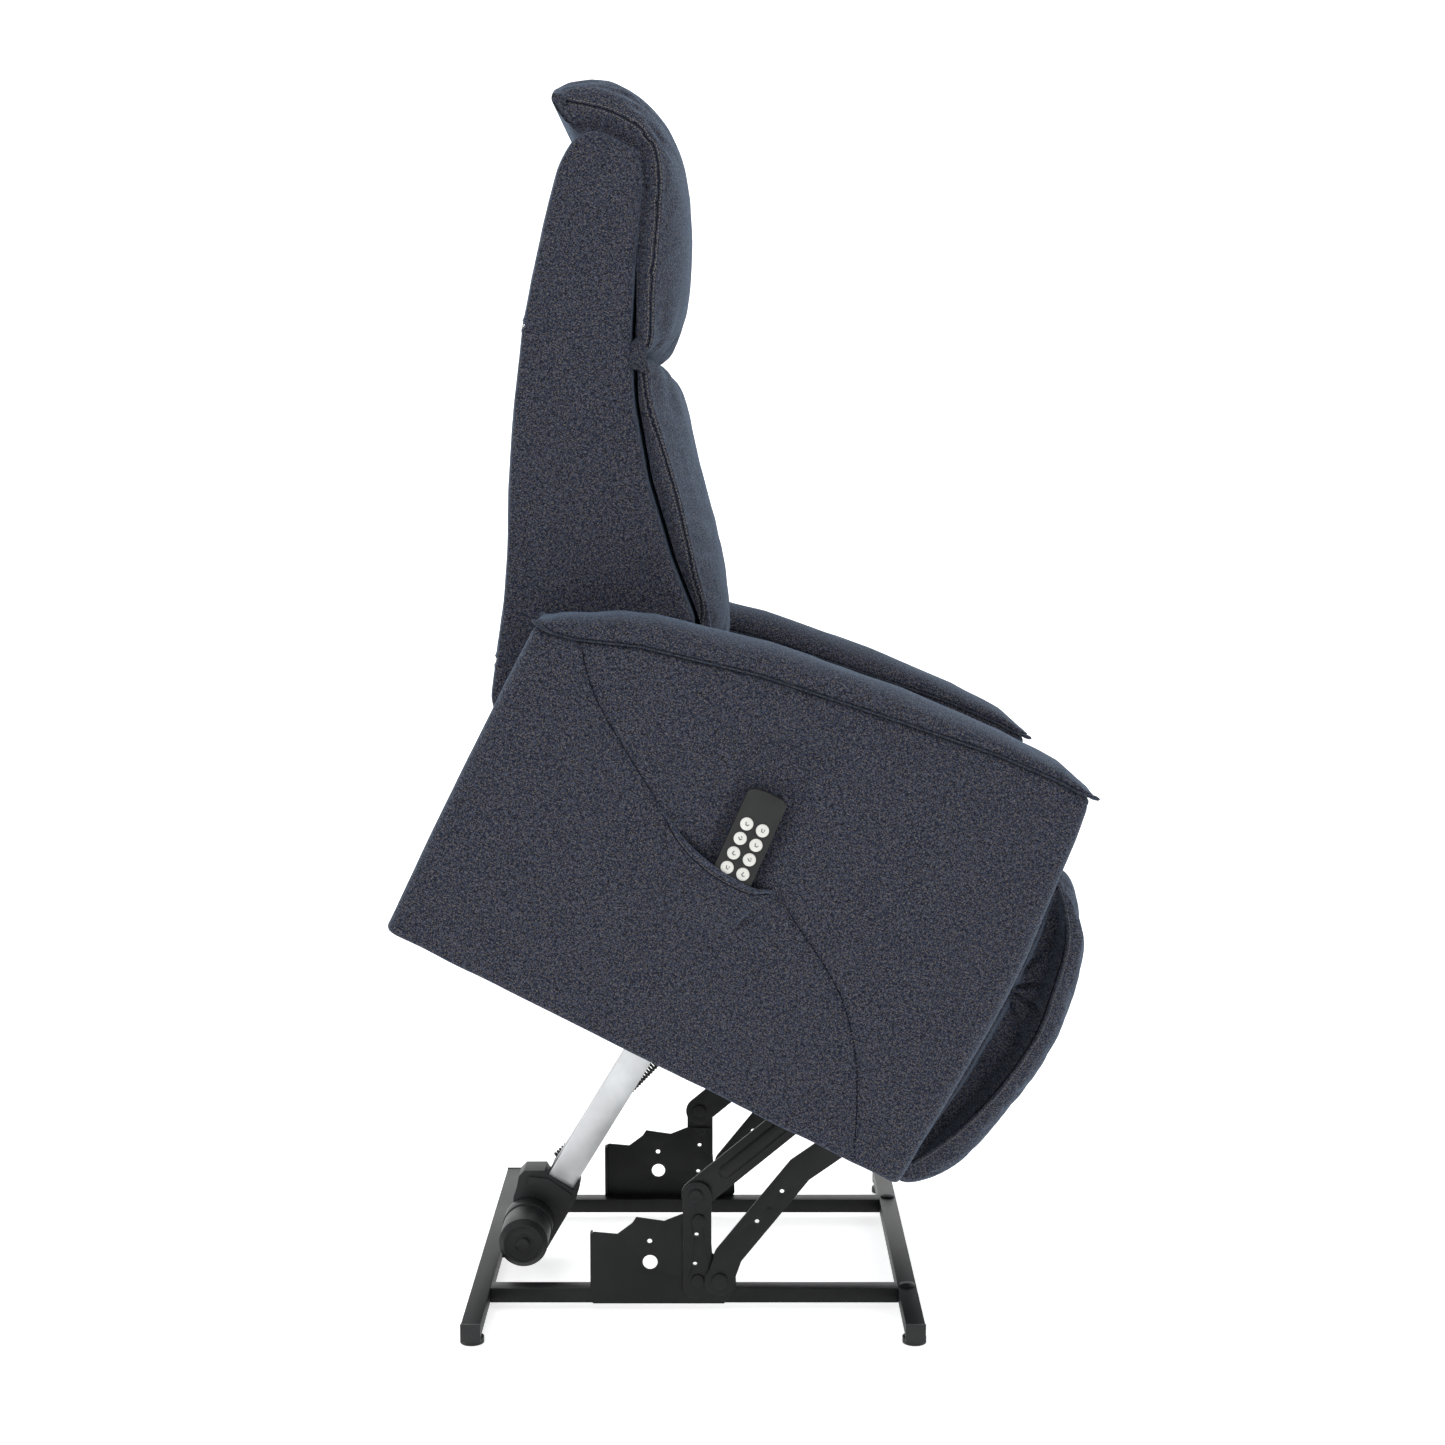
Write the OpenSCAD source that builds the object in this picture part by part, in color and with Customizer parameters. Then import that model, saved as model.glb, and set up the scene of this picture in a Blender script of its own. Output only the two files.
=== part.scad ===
// Power lift recliner chair, drawn in its raised position.
// +X is forward, +Y is the occupant's left, +Z is up, and the origin is on the
// floor at the centre of the base. Everything on the tilting seat frame is laid
// out level, as when seated, inside chair(), which then lifts and tilts it.

/* [Base] */
// Length of the base between the outer faces of its cross tubes
base_length = 595; // [580:1:610]
// Length of each cross tube
base_width = 660; // [650:1:700]
// Width of the base tube
tube_w = 25; // [22:1:26]
// Height of the base tube
tube_h = 20; // [18:1:20]
// Wall of the base tube
tube_wall = 1.5; // [1:0.5:2]
// Outer face of each side rail from the centre plane
rail_y = 200; // [200:1:200]
// Height of the foot under each tube end
foot_h = 11; // [9:1:12]
// Diameter of the foot
foot_d = 31; // [28:1:34]

/* [Lift linkage] */
// Tilt of the raised seat frame
tilt = 27; // [27:1:27]
// Angle of the raised rear link above level
rear_angle = 39.5; // [39.5:0.5:39.5]
// Angle of the raised front link above level
front_angle = 47; // [47:0.5:47]
// Width of the ribbed rear link
rear_link_w = 40; // [34:1:40]
// Width of the flat front link
front_link_w = 36; // [30:1:36]
// Thickness of the links
link_t = 4; // [3:0.5:4]
// Radius of the lift pivot pins
pin_r = 6; // [5:0.5:6]
// Radial running clearance of every pin
run_fit = 0.06; // [0.03:0.01:0.1]

/* [Lift actuator] */
// Angle of the raised actuator above level
act_angle = 58.7; // [58.7:0.1:58.7]
// Distance from the foot pivot to the nut when raised
nut_reach = 500; // [500:1:500]
// Side of the channel
channel_h = 40; // [36:1:40]
// Width of the channel
channel_w = 32; // [30:1:32]
// Radius of the motor
motor_r = 33.5; // [30:0.5:34]

/* [Upholstery] */
// Inner face of the arm from the centre plane
arm_in = 245; // [245:1:250]
// Width of the arm
arm_w = 140; // [130:1:150]
// Wall of the upholstered arm shell
arm_wall = 12; // [10:1:12]
// Half width of the seat cushion
seat_half = 236; // [225:1:238]
// Half width of the backrest
back_half = 238; // [232:1:238]
// Half width of the legrest pad
pad_half = 238; // [225:1:240]

/* [Legrest linkage] */
// Width of the legrest links
leg_w = 22; // [18:1:22]
// Radius of the legrest pins
leg_pin = 4; // [3:0.5:4]
// Length of the legrest rear link
leg_rear_l = 161.6; // [161.6:0.1:161.6]
// Length of the legrest front link
leg_front_l = 239.7; // [239.7:0.1:239.7]
// Angle of the folded rear link
leg_rear_angle = -74.99; // [-75:0.01:-74.9]
// Angle of the folded front link
leg_front_angle = 59.31; // [59.3:0.01:59.4]

/* [Remote] */
// Length of the handset
remote_l = 150; // [140:1:155]
// Width of the handset
remote_w = 51; // [46:1:52]
// Thickness of the handset
remote_t = 16; // [14:1:16]
// Diameter of each button
button_d = 16; // [12:1:16]
// How far the handset can slide out of its pocket
remote_out = 60; // [40:1:60]

/* [Hidden] */
$fn = 48;

steel = [0.055, 0.057, 0.062];
zinc = [0.62, 0.63, 0.65];
cloth = [0.12, 0.16, 0.25];
plastic = [0.06, 0.06, 0.065];
wood = [0.72, 0.56, 0.38];

end_x = base_length / 2;
tube_x = end_x - tube_w / 2; // centre line of each cross tube
rail_x = -end_x + tube_w; // front face of the rear cross tube
tube_top = foot_h + tube_h;
tight_fit = 0.05; // radial clearance of fixed pins and rivets

// Points and outlines are [x, z] in the side view. Angles run from +X towards +Z.
function heading(angle) = [cos(angle), sin(angle)];
function turn(p, a) = [p[0] * cos(a) + p[1] * sin(a), -p[0] * sin(a) + p[1] * cos(a)];

// ---- lift geometry: a corner of the seat frame, seated and raised, sets its place ----
corner_seated = [-340, 55];
corner_raised = [-371.63, 557.6];
seat_origin = corner_raised - turn(corner_seated, tilt);
function to_seat(p) = turn(p - seat_origin, -tilt);
// length that reaches the same seat frame point raised and seated
function link_length(low, angle) = let (shift = to_seat(low) - low)
  -(shift * shift) / (2 * (shift * turn(heading(angle), -tilt)));
rear_low = [3, 160];
front_low = [34, 45.5];
rear_length = link_length(rear_low, rear_angle);
rear_high = rear_low + rear_length * heading(rear_angle);
front_high = front_low + link_length(front_low, front_angle) * heading(front_angle);
rear_high_seat = to_seat(rear_high);
front_high_seat = to_seat(front_high);

// ---- lift actuator pivots ----
act_foot = [-236, 44];
act_top_seat = to_seat(act_foot + nut_reach * heading(act_angle));
lift_tube = act_top_seat + [-39, 39];

// ---- sheet thicknesses, and the inner face of each layer from the centre plane ----
plate_t = 3;
upright_t = 4;
side_t = 4;
bracket_t = 4;
leg_t = 4;
y_plate = rail_y;
y_upright = y_plate + plate_t;
y_rear = y_plate - 2;
y_front = y_upright + upright_t + 1;
y_side = 214;
y_bracket = 207;
y_leg_rear = 182;
y_leg_front = 176;
y_leg_guide = 188;
y_leg_board = 170;
y_board_plate = 164;

// ---- recline and legrest pivots, seat frame ----
back_hinge = [-250, 378];
back_lever = [-275, 258];
back_tube = [-304, 268];
recline_pivot = [155, 262];
leg_rear_top = [207.4, 263.1];
leg_guide_top = [246.1, 297.9];
leg_knee = leg_rear_top + leg_rear_l * heading(leg_rear_angle);
board_low = leg_knee + leg_front_l * heading(leg_front_angle);
board_high = board_low + [0, 45.2];
leg_cross = leg_rear_top + 0.654 * leg_rear_l * heading(leg_rear_angle);
guide_low = leg_knee + 0.1513 * leg_front_l * heading(leg_front_angle);
leg_act_pivot = [-150, 250];
leg_lever = leg_rear_top + 50 * heading(-120);

// ================= helpers =================
module chair() translate([seat_origin[0], 0, seat_origin[1]]) rotate([0, tilt, 0]) children();
// a side-view outline made solid between two distances along y
module slab(from, to)
  translate([0, to, 0]) rotate([90, 0, 0]) linear_extrude(height = to - from) children();
module side(left) if (left) children(); else mirror([0, 1, 0]) children();
module both() {
  children();
  mirror([0, 1, 0]) children();
}
// a round pin or hole along y
module pin(p, r, from, to)
  translate([p[0], from, p[1]]) rotate([-90, 0, 0]) cylinder(r = r, h = to - from);
module cone(p, r1, r2, from, h)
  translate([p[0], from, p[1]]) rotate([-90, 0, 0]) cylinder(r1 = r1, r2 = r2, h = h);
// a pin head with a chamfered outer edge
module low_head(p, r, from, h) {
  chamfer = 0.8;
  pin(p, r, from, from + h - chamfer);
  cone(p, r, r - 2, from + h - chamfer, chamfer);
}

// outline of a strap of width w along a path, mitred at its bends, with round ends
function unit(v) = v / norm(v);
function perp(v) = [-v[1], v[0]];
function direction(a, b) = atan2(b[1] - a[1], b[0] - a[0]);
// the strap's edge beside point i, on the left (s = 1) or right (s = -1) of the path
function edge(path, i, w, s) =
  i == 0 ? path[0] + s * w / 2 * perp(unit(path[1] - path[0]))
  : i == len(path) - 1 ? path[i] + s * w / 2 * perp(unit(path[i] - path[i - 1]))
  : let (before = perp(unit(path[i] - path[i - 1])),
         after = perp(unit(path[i + 1] - path[i])),
         mitre = unit(before + after))
    path[i] + s * w / 2 / (mitre * before) * mitre;
function fan(centre, r, a0, a1) = [for (i = [1:13]) centre + r * heading(a0 + (a1 - a0) * i / 14)];
module strap(path, w) {
  last = len(path) - 1;
  start = direction(path[0], path[1]);
  end = direction(path[last - 1], path[last]);
  polygon(concat(
    [for (i = [0:last]) edge(path, i, w, 1)],
    fan(path[last], w / 2, end + 90, end - 90),
    [for (i = [last:-1:0]) edge(path, i, w, -1)],
    fan(path[0], w / 2, start - 90, start - 270)));
}
module bar(a, b, w) strap([a, b], w);
module dot(p, r) translate(p) circle(r = r);

// ================= base =================
foot_y = base_width / 2 - 20;

module cross_tube(x) color(steel) difference() {
  translate([x - tube_w / 2, -base_width / 2, foot_h]) cube([tube_w, base_width, tube_h]);
  translate([x - tube_w / 2 + tube_wall, -base_width / 2 - 1, foot_h + tube_wall])
    cube([tube_w - 2 * tube_wall, base_width + 2, tube_h - 2 * tube_wall]);
  for (s = [-1, 1]) translate([x, s * foot_y, foot_h - 1]) cylinder(r = 4.3, h = 4);
}
module base_rear_tube() cross_tube(-tube_x);
module base_front_tube() cross_tube(tube_x);

module rail(left) color(steel) side(left) difference() {
  translate([rail_x, rail_y - tube_w, foot_h])
    cube([base_length - 2 * tube_w, tube_w, tube_h]);
  translate([rail_x - 1, rail_y - tube_w + tube_wall, foot_h + tube_wall])
    cube([base_length - 2 * tube_w + 2, tube_w - 2 * tube_wall, tube_h - 2 * tube_wall]);
}
module base_rail_left() rail(true);
module base_rail_right() rail(false);

// moulded foot: a stem and round pad under the tube, and a square cap plugged into its end
module base_feet() color(plastic) for (x = [-tube_x, tube_x]) both() {
  translate([x, foot_y, 0]) {
    cylinder(r = 4, h = foot_h + 6);
    cylinder(d = foot_d, h = 7.5);
  }
  translate([x, foot_y, 7]) cylinder(d = foot_d - 8, h = foot_h - 7.1);
  // cap, the tongue joining it to the pad, and the plug
  translate([x - tube_w / 2 - 0.5, base_width / 2 + 0.1, foot_h - 3])
    cube([tube_w + 1, 3, tube_h + 3.5]);
  translate([x - tube_w / 2 + 2, base_width / 2 - 10, foot_h - 3]) cube([tube_w - 4, 12, 2.9]);
  translate([x - tube_w / 2 + tube_wall + 0.1, base_width / 2 - 9, foot_h + tube_wall + 0.1])
    cube([tube_w - 2 * tube_wall - 0.2, 10, tube_h - 2 * tube_wall - 0.2]);
}

upright_x = 4;
upright_w = 38;
rivet_r = 4;
rivet_at = [[5, 44], [6.5, 126.5]];
// holes shared by plate and upright: [centre, radius]
shared_holes = concat([[[3.2, 107], 3], [[1.1, 66.7], 3]],
  [for (p = rivet_at) [p, rivet_r + tight_fit]]);
plate_holes = concat(shared_holes,
  [[[-58.7, 68], 10], [[-59.2, 97], 3.3], [front_low, pin_r + run_fit]]);
plate_outline = [[-135.5, foot_h], [-135.5, 107.8], [-133, 109.2], [-102.3, 106.5],
  [-82.4, 121.5], [-77, 129.7], [-40, 124.3], [-16, 134], [20, 134], [24, 80], [55, 62],
  [56, 34], [40, foot_h]];

// plate on the outer face of the rail, with an inward flange at its rear edge
module lift_plate(left) color(steel) side(left) difference() {
  union() {
    slab(y_plate, y_plate + plate_t) polygon(plate_outline);
    translate([-138.5, y_plate - 11, tube_top + 0.5]) cube([3.2, 14, 76]);
  }
  for (hole = plate_holes) pin(hole[0], hole[1], y_plate - 5, y_plate + 8);
}
module lift_plate_left() lift_plate(true);
module lift_plate_right() lift_plate(false);

module lift_upright(left) color(steel) side(left) difference() {
  half = upright_w / 2;
  slab(y_upright, y_upright + upright_t) {
    translate([upright_x - half, 30]) square([upright_w, 130]);
    polygon([[upright_x - half, 31], [upright_x - 12, 20], [upright_x + 12, 20],
      [upright_x + half, 31]]);
    dot([upright_x, 160], half);
  }
  for (hole = concat(shared_holes, [[rear_low, pin_r + run_fit]]))
    pin(hole[0], hole[1], y_upright - 1, y_upright + upright_t + 1);
}
module lift_upright_left() lift_upright(true);
module lift_upright_right() lift_upright(false);

// rivets through plate and upright, and coned discs on top of the front cross tube
module base_rivets() color(steel) {
  both() for (p = rivet_at) {
    pin(p, rivet_r, y_plate, y_upright + upright_t + 0.1);
    low_head(p, 8.5, y_upright + upright_t + 0.05, 3);
  }
  both() translate([tube_x, rail_y - tube_w / 2 + 2, tube_top]) {
    cylinder(r = 10.5, h = 2);
    translate([0, 0, 2]) cylinder(r1 = 10.5, r2 = 5, h = 2);
  }
}

act_foot_r = 5;
module lift_pivot_pins() color(steel) {
  pin(act_foot, act_foot_r, -20, 20);
  both() {
    pin(rear_low, pin_r, y_rear - 2, y_upright + 6);
    pin(rear_low, 9, y_rear - 3.2, y_rear - 0.4);
    // outer head with three crossed grooves
    difference() {
      low_head(rear_low, 9, y_upright + upright_t + 0.3, 2.2);
      for (a = [0, 60, 120])
        translate([rear_low[0], y_upright + 6, rear_low[1]]) rotate([0, a, 0])
          cube([11, 1.6, 1.2], center = true);
    }
    pin(front_low, pin_r, y_plate, y_front + 5);
    pin(front_low, 9, y_plate + plate_t + 0.1, y_front - 0.4);
    low_head(front_low, 10, y_front + 4.4, 3);
  }
}

// a tongue on the rear tube that carries the foot of the actuator
module actuator_foot_bracket() color(steel) difference() {
  union() {
    translate([rail_x, -26, foot_h + 1]) cube([3, 52, 22]);
    slab(-5.5, 5.5) {
      polygon([[rail_x + 1, foot_h + 1], [rail_x + 1, foot_h + 22],
        act_foot + [-4, 11], act_foot + [6, -9]]);
      dot(act_foot, 11);
    }
  }
  pin(act_foot, act_foot_r + run_fit, -10, 10);
}

// ================= lift links =================
rib_r = 12.5;
rib_start = 50; // along the link from its lower pivot
rib_l = rear_length - 95; // straight part, between the domed ends

module rear_lift_link(left) color(steel) side(left) difference() {
  union() {
    slab(y_rear, y_rear + link_t) bar(rear_low, rear_high, rear_link_w);
    // raised round rib, kept to the outer side of the link
    intersection() {
      slab(y_rear + 1, y_rear + 12) bar(rear_low, rear_high, rear_link_w);
      translate([rear_low[0], y_rear - 4, rear_low[1]]) rotate([0, 90 - rear_angle, 0])
        translate([0, 0, rib_start]) rotate_extrude() polygon(concat(
          [[0, -rib_r]],
          [for (a = [-80:10:0]) rib_r * heading(a)],
          [for (a = [0:10:80]) [0, rib_l] + rib_r * heading(a)],
          [[0, rib_l + rib_r]]));
    }
  }
  for (p = [rear_low, rear_high]) pin(p, pin_r + run_fit, y_rear - 5, y_rear + 12);
}
module rear_lift_link_left() rear_lift_link(true);
module rear_lift_link_right() rear_lift_link(false);

torsion_at = front_high - 42 * heading(front_angle);
elbow = [140, 197];
module front_lift_link(left) color(steel) side(left) difference() {
  union() {
    slab(y_front, y_front + link_t) {
      dot(front_low, 20);
      bar(front_low, [47, 82], 36);
      strap([[44, 78], elbow, front_high], front_link_w);
    }
    // upper pivot pin, with its head outside the side plate
    pin(front_high, 5, y_front + 1, y_side + 7);
    pin(front_high, 15, y_side + 5, y_side + 7);
  }
  for (hole = [[front_low, pin_r + run_fit], [[83.5, 127], 3], [[116.5, 168], 3]])
    pin(hole[0], hole[1], y_front - 1, y_front + 9);
  // blind recess in the outer face
  pin([100, 148], 3.5, y_front + link_t - 1, y_front + 9);
}
module front_lift_link_left() front_lift_link(true);
module front_lift_link_right() front_lift_link(false);

module link_torsion_tube() color(steel) difference() {
  pin(torsion_at, 9, -y_front, y_front);
  pin(torsion_at, 7.5, -y_front - 1, y_front + 1);
}

// ================= seat frame =================
leg_top_r = 5; // pins at the top of the legrest rear and guide links
arm_bolt_r = 4;
arm_bolt_at = [[-140, 306], [60, 304], [300, 250]];
side_holes = concat([[rear_high_seat, pin_r + tight_fit], [front_high_seat, 12],
  [leg_rear_top, leg_top_r + tight_fit], [leg_guide_top, leg_top_r + tight_fit],
  [back_hinge, pin_r + tight_fit]], [for (p = arm_bolt_at) [p, arm_bolt_r + 0.2]]);
side_outline = [[-226, 352], [-200, 332], [318, 332], [330, 305], [326, 150], [357, 100],
  [357, 70], [345, 60], [312, 60], [272, 105], [262, 150], [215, 232], [170, 262], [60, 276],
  [38, 205], [32, 186], [-8, 186], [-14, 205], [-36, 284], [-180, 294], [-268, 352]];
module side_plate(left) color(steel) side(left) chair() difference() {
  slab(y_side, y_side + side_t) {
    polygon(side_outline);
    dot(back_hinge, 27);
  }
  for (hole = side_holes) pin(hole[0], hole[1], y_side - 1, y_side + side_t + 1);
}
module side_plate_left() side_plate(true);
module side_plate_right() side_plate(false);

frame_tube = 20;
frame_z = 316;
// cross bars, rails along the seat, and hangers and lugs for the three actuators
module seat_frame_tubes() color(steel) chair() difference() {
  union() {
    for (p = [[-186, frame_z], [300, frame_z], [160, frame_z], lift_tube])
      translate([p[0] - frame_tube / 2, -y_side, p[1] - frame_tube / 2])
        cube([frame_tube, 2 * y_side, frame_tube]);
    both() {
      translate([-190, 122, frame_z - 8]) cube([486, 10, 16]);
      translate([lift_tube[0] - 8, 123, lift_tube[1]]) cube([16, 8, 318 - lift_tube[1]]);
      slab(28, 32) bar(lift_tube, act_top_seat, 26);
    }
    for (y = [76, 100]) slab(y, y + 4) bar([160, 312], recline_pivot, 22);
    for (y = [-104, -80]) slab(y, y + 4) bar([-184, 314], leg_act_pivot, 22);
  }
  pin(act_top_seat, 8, -40, 40);
  pin(recline_pivot, 4 + run_fit, 60, 120);
  pin(leg_act_pivot, 4 + run_fit, -120, -60);
}

// zigzag seat springs lying on the rails
zig_count = 17;
spring_start = -194;
spring_l = 502;
function zigzag(i, offset) =
  [spring_start + i * spring_l / zig_count, (i % 2 == 0 ? 20 : -20) + offset];
module seat_springs() color(zinc) chair() for (y = [-168:84:168])
  translate([0, y, 326.1]) linear_extrude(height = 3.8) polygon(concat(
    [for (i = [0:zig_count]) zigzag(i, 2.6)],
    [for (i = [zig_count:-1:0]) zigzag(i, -2.6)]));

seat_outline = [[-200, 335], [328, 335], [350, 376], [352, 438], [338, 460], [305, 470],
  [-160, 470], [-200, 460]];
module seat_cushion() color(cloth) chair() slab(-seat_half, seat_half) polygon(seat_outline);

// ================= handset placing, seat frame =================
remote_tilt = 3;
remote_centre = [3.4, 342];
remote_y = 381; // inner face
module remote_place()
  translate([remote_centre[0], 0, remote_centre[1]]) rotate([0, -remote_tilt, 0]) children();

// ================= arms =================
arm_out = arm_in + arm_w;
arm_edge = [[-340, 55], [374, 55], [349, 586], [310.5, 589], [230, 584], [101.6, 566],
  [-76, 539], [-222, 504], [-296, 476], [-345, 474]];
// raised middle of the arm's top
arm_crown = [[-345, 460], [349, 560], [347, 588], [310.5, 605], [225.3, 607], [89.7, 598],
  [-41, 581], [-166, 554], [-263, 526], [-331.6, 498], [-345, 480]];
crown_inset = 18;
arm_hollow = [[-326, 45], [360, 45], [336, 562], [230, 560], [101, 542], [-76, 515],
  [-222, 480], [-296, 452], [-331, 450]];
module arm_cover(left) color(cloth) side(left) chair() difference() {
  union() {
    slab(arm_in, arm_out) polygon(arm_edge);
    slab(arm_in + crown_inset, arm_out - crown_inset) polygon(arm_crown);
  }
  slab(arm_in + arm_wall, arm_out - arm_wall) polygon(arm_hollow);
  for (p = arm_bolt_at) pin(p, arm_bolt_r + 0.2, arm_in - 1, arm_in + arm_wall + 1);
  // the right arm is recessed behind the handset and its sliding room
  if (!left) remote_place() translate([-remote_w / 2 - 4, remote_y - 1, -remote_l / 2 - 4])
    cube([remote_w + 8, 30, remote_l + remote_out + 8]);
}
module arm_cover_left() arm_cover(true);
module arm_cover_right() arm_cover(false);

wood_t = 12;
wood_in = arm_in + arm_wall + 2;
wood_out = arm_out - arm_wall - 2;
wood_edge = [[-322, 70], [355, 70], [333, 556], [230, 554], [101, 536], [-76, 509],
  [-222, 474], [-296, 446], [-327, 444]];
wood_hollow = [[-300, 60], [338, 60], [316, 538], [230, 536], [101, 518], [-76, 491],
  [-222, 456], [-296, 428], [-306, 426]];
wood_windows = [
  [[-240, 110], [-100, 110], [-100, 270], [-240, 270]],
  [[-40, 110], [230, 110], [230, 270], [-40, 270]],
  [[-150, 340], [220, 340], [220, 470], [-40, 450], [-150, 420]]];
module arm_frame(left) color(wood) side(left) chair() difference() {
  slab(wood_in, wood_out) polygon(wood_edge);
  slab(wood_in + wood_t, wood_out - wood_t) polygon(wood_hollow);
  for (window = wood_windows) slab(arm_in, arm_out) polygon(window);
  for (p = arm_bolt_at) pin(p, arm_bolt_r + 0.2, arm_in, arm_in + arm_wall + 20);
}
module arm_frame_left() arm_frame(true);
module arm_frame_right() arm_frame(false);

// bolt, inner head, spacer between side plate and arm, and hexagon nut inside the arm
module arm_bolts() color(zinc) chair() both() for (p = arm_bolt_at) {
  nut_y = wood_in + wood_t + 0.1;
  pin(p, arm_bolt_r, y_side - 2, wood_in + 16);
  pin(p, 7, y_side - 4, y_side - 0.1);
  pin(p, 9, y_side + side_t + 0.1, arm_in - 0.1);
  difference() {
    translate([p[0], nut_y, p[1]]) rotate([-90, 0, 0]) cylinder(r = 7.5, h = 6, $fn = 6);
    pin(p, arm_bolt_r - 0.1, wood_in + 8, wood_in + 20);
  }
}

// box inside the left side plate, with slots underneath and two mounting tabs
module power_box() color(plastic) chair() {
  difference() {
    translate([-100, 142, 232]) cube([156, 62, 66]);
    for (i = [0:5]) translate([-70 + i * 18, 160, 231]) cube([6, 30, 2.5]);
  }
  for (x = [-90, 30]) translate([x, 203, 286]) cube([16, 10.9, 8]);
}

// a pin through the side plate and a layer starting at y, with a head on each end
// pin_past and head_past: how far the pin and inner head reach inward of y
module headed_pin(p, r, y, pin_past, head_past, inner_r, outer_r) {
  pin(p, r, y - pin_past, y_side + side_t + 1);
  pin(p, inner_r, y - head_past, y - 0.4);
  pin(p, outer_r, y_side + side_t + 0.1, y_side + side_t + 2.5);
}
module frame_pivot_pins() color(zinc) chair() {
  pin(recline_pivot, 4, 74, 106);
  pin(leg_act_pivot, 4, -106, -74);
  both() {
    headed_pin(rear_high_seat, pin_r, y_rear, 2, 3.2, 9, 10);
    headed_pin(leg_rear_top, leg_top_r, y_leg_rear, 1, 2.4, 8, 8);
    headed_pin(leg_guide_top, leg_top_r, y_leg_guide, 1, 2, 8, 8);
    headed_pin(back_hinge, pin_r, y_bracket, 2, 3.2, 10, 10);
  }
}

// open-topped pouch on the outer face of the right arm
pouch_y = remote_y + remote_t + 3;
pouch_outline = [[-60, 314], [-32, 307], [-14, 305], [8, 303.5], [38, 303], [53, 308],
  [50, 270], [38, 252], [-36, 252], [-54, 272]];
pouch_hollow = [[-40, 330], [44, 330], [44, 275], [34, 256], [-32, 256], [-40, 275]];
module remote_pocket() color(cloth) mirror([0, 1, 0]) chair() difference() {
  slab(arm_out + 0.1, pouch_y + 2) polygon(pouch_outline);
  slab(arm_out - 1, pouch_y) polygon(pouch_hollow);
}

// ================= lift actuator =================
// laid along +X from the foot pivot, then raised to its angle
module actuator()
  translate([act_foot[0], 0, act_foot[1]]) rotate([0, -act_angle, 0]) children();
module along_x(x, r, h) translate([x, 0, 0]) rotate([0, 90, 0]) cylinder(r = r, h = h);

gearbox_outline = [[-21, -25], [-14, -33], [78, -31], [97, -26], [103, -21.5], [101, -20.5],
  [88, -20.5], [88, 20.5], [92, 28], [77, 52.5], [66, 55], [52, 50], [36, 46], [-8, 22],
  [-21, 8]];
gearbox_band = [[56, -24], [82, -23], [85, 18], [74, 42], [56, 38]];
foot_slot = [[-30, -50], [13, -50], [13, 60], [-30, 60]];
screw_r = 6;
module lift_gearbox() color(plastic) actuator() difference() {
  union() {
    slab(-22, 22) polygon(gearbox_outline);
    slab(-25, 25) polygon(gearbox_band);
  }
  slab(-6.5, 6.5) polygon(foot_slot);
  along_x(60, screw_r + 0.2, 60);
  pin([0, 0], act_foot_r + run_fit, -30, 30);
}

// motor across the axis, on the right of the gearbox, with a ring groove in its end
motor_at = [18.5, 10];
module lift_motor() color(plastic) actuator() difference() {
  union() {
    pin(motor_at, motor_r + 1, -52, -22.1);
    pin(motor_at, motor_r - 2, -58, -52);
    pin(motor_at, motor_r, -116, -58);
    cone(motor_at, motor_r - 7, motor_r, -122, 6);
    cone(motor_at, 8, 12, -126, 5);
  }
  translate([motor_at[0], -124, motor_at[1]]) rotate([-90, 0, 0]) difference() {
    cylinder(r = motor_r - 9, h = 4);
    translate([0, 0, -1]) cylinder(r = 13, h = 6);
  }
}

channel_start = 88.2;
module lift_channel() color([0.78, 0.79, 0.8]) actuator() difference() {
  translate([channel_start, -channel_w / 2, -channel_h / 2])
    cube([nut_reach + 45 - channel_start, channel_w, channel_h]);
  translate([84, -channel_w / 2 + 2.5, -channel_h / 2 + 3])
    cube([nut_reach + 41 - 84, channel_w - 5, channel_h]);
}

module lift_screw() color(zinc) actuator() along_x(64, screw_r, nut_reach + 40.5 - 64);

// block around the channel and screw, cleared for the channel's section
module lift_nut() color(plastic) actuator() difference() {
  translate([nut_reach - 30, -24, -channel_h / 2 - 7]) cube([60, 48, channel_h + 14]);
  difference() {
    translate([nut_reach - 31, -channel_w / 2 - 0.4, -channel_h / 2 - 0.4])
      cube([62, channel_w + 0.8, channel_h + 0.8]);
    translate([nut_reach - 32, -channel_w / 2 + 3.5, -channel_h / 2 + 4.5])
      cube([64, channel_w - 7, channel_h]);
  }
  along_x(nut_reach - 40, screw_r + run_fit, 80);
}

// coiled lead running slantwise beside the channel
coil_steps = 46;
coil_step = 4.6;
module motor_cable() color(plastic) actuator() translate([98, 46, 16]) rotate([0, 103.9, 0])
  rotate_extrude() polygon(concat([[0, 0]],
    [for (i = [0:coil_steps]) [i % 2 == 0 ? 5.5 : 8.5, i * coil_step]],
    [[0, coil_steps * coil_step]]));

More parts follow.
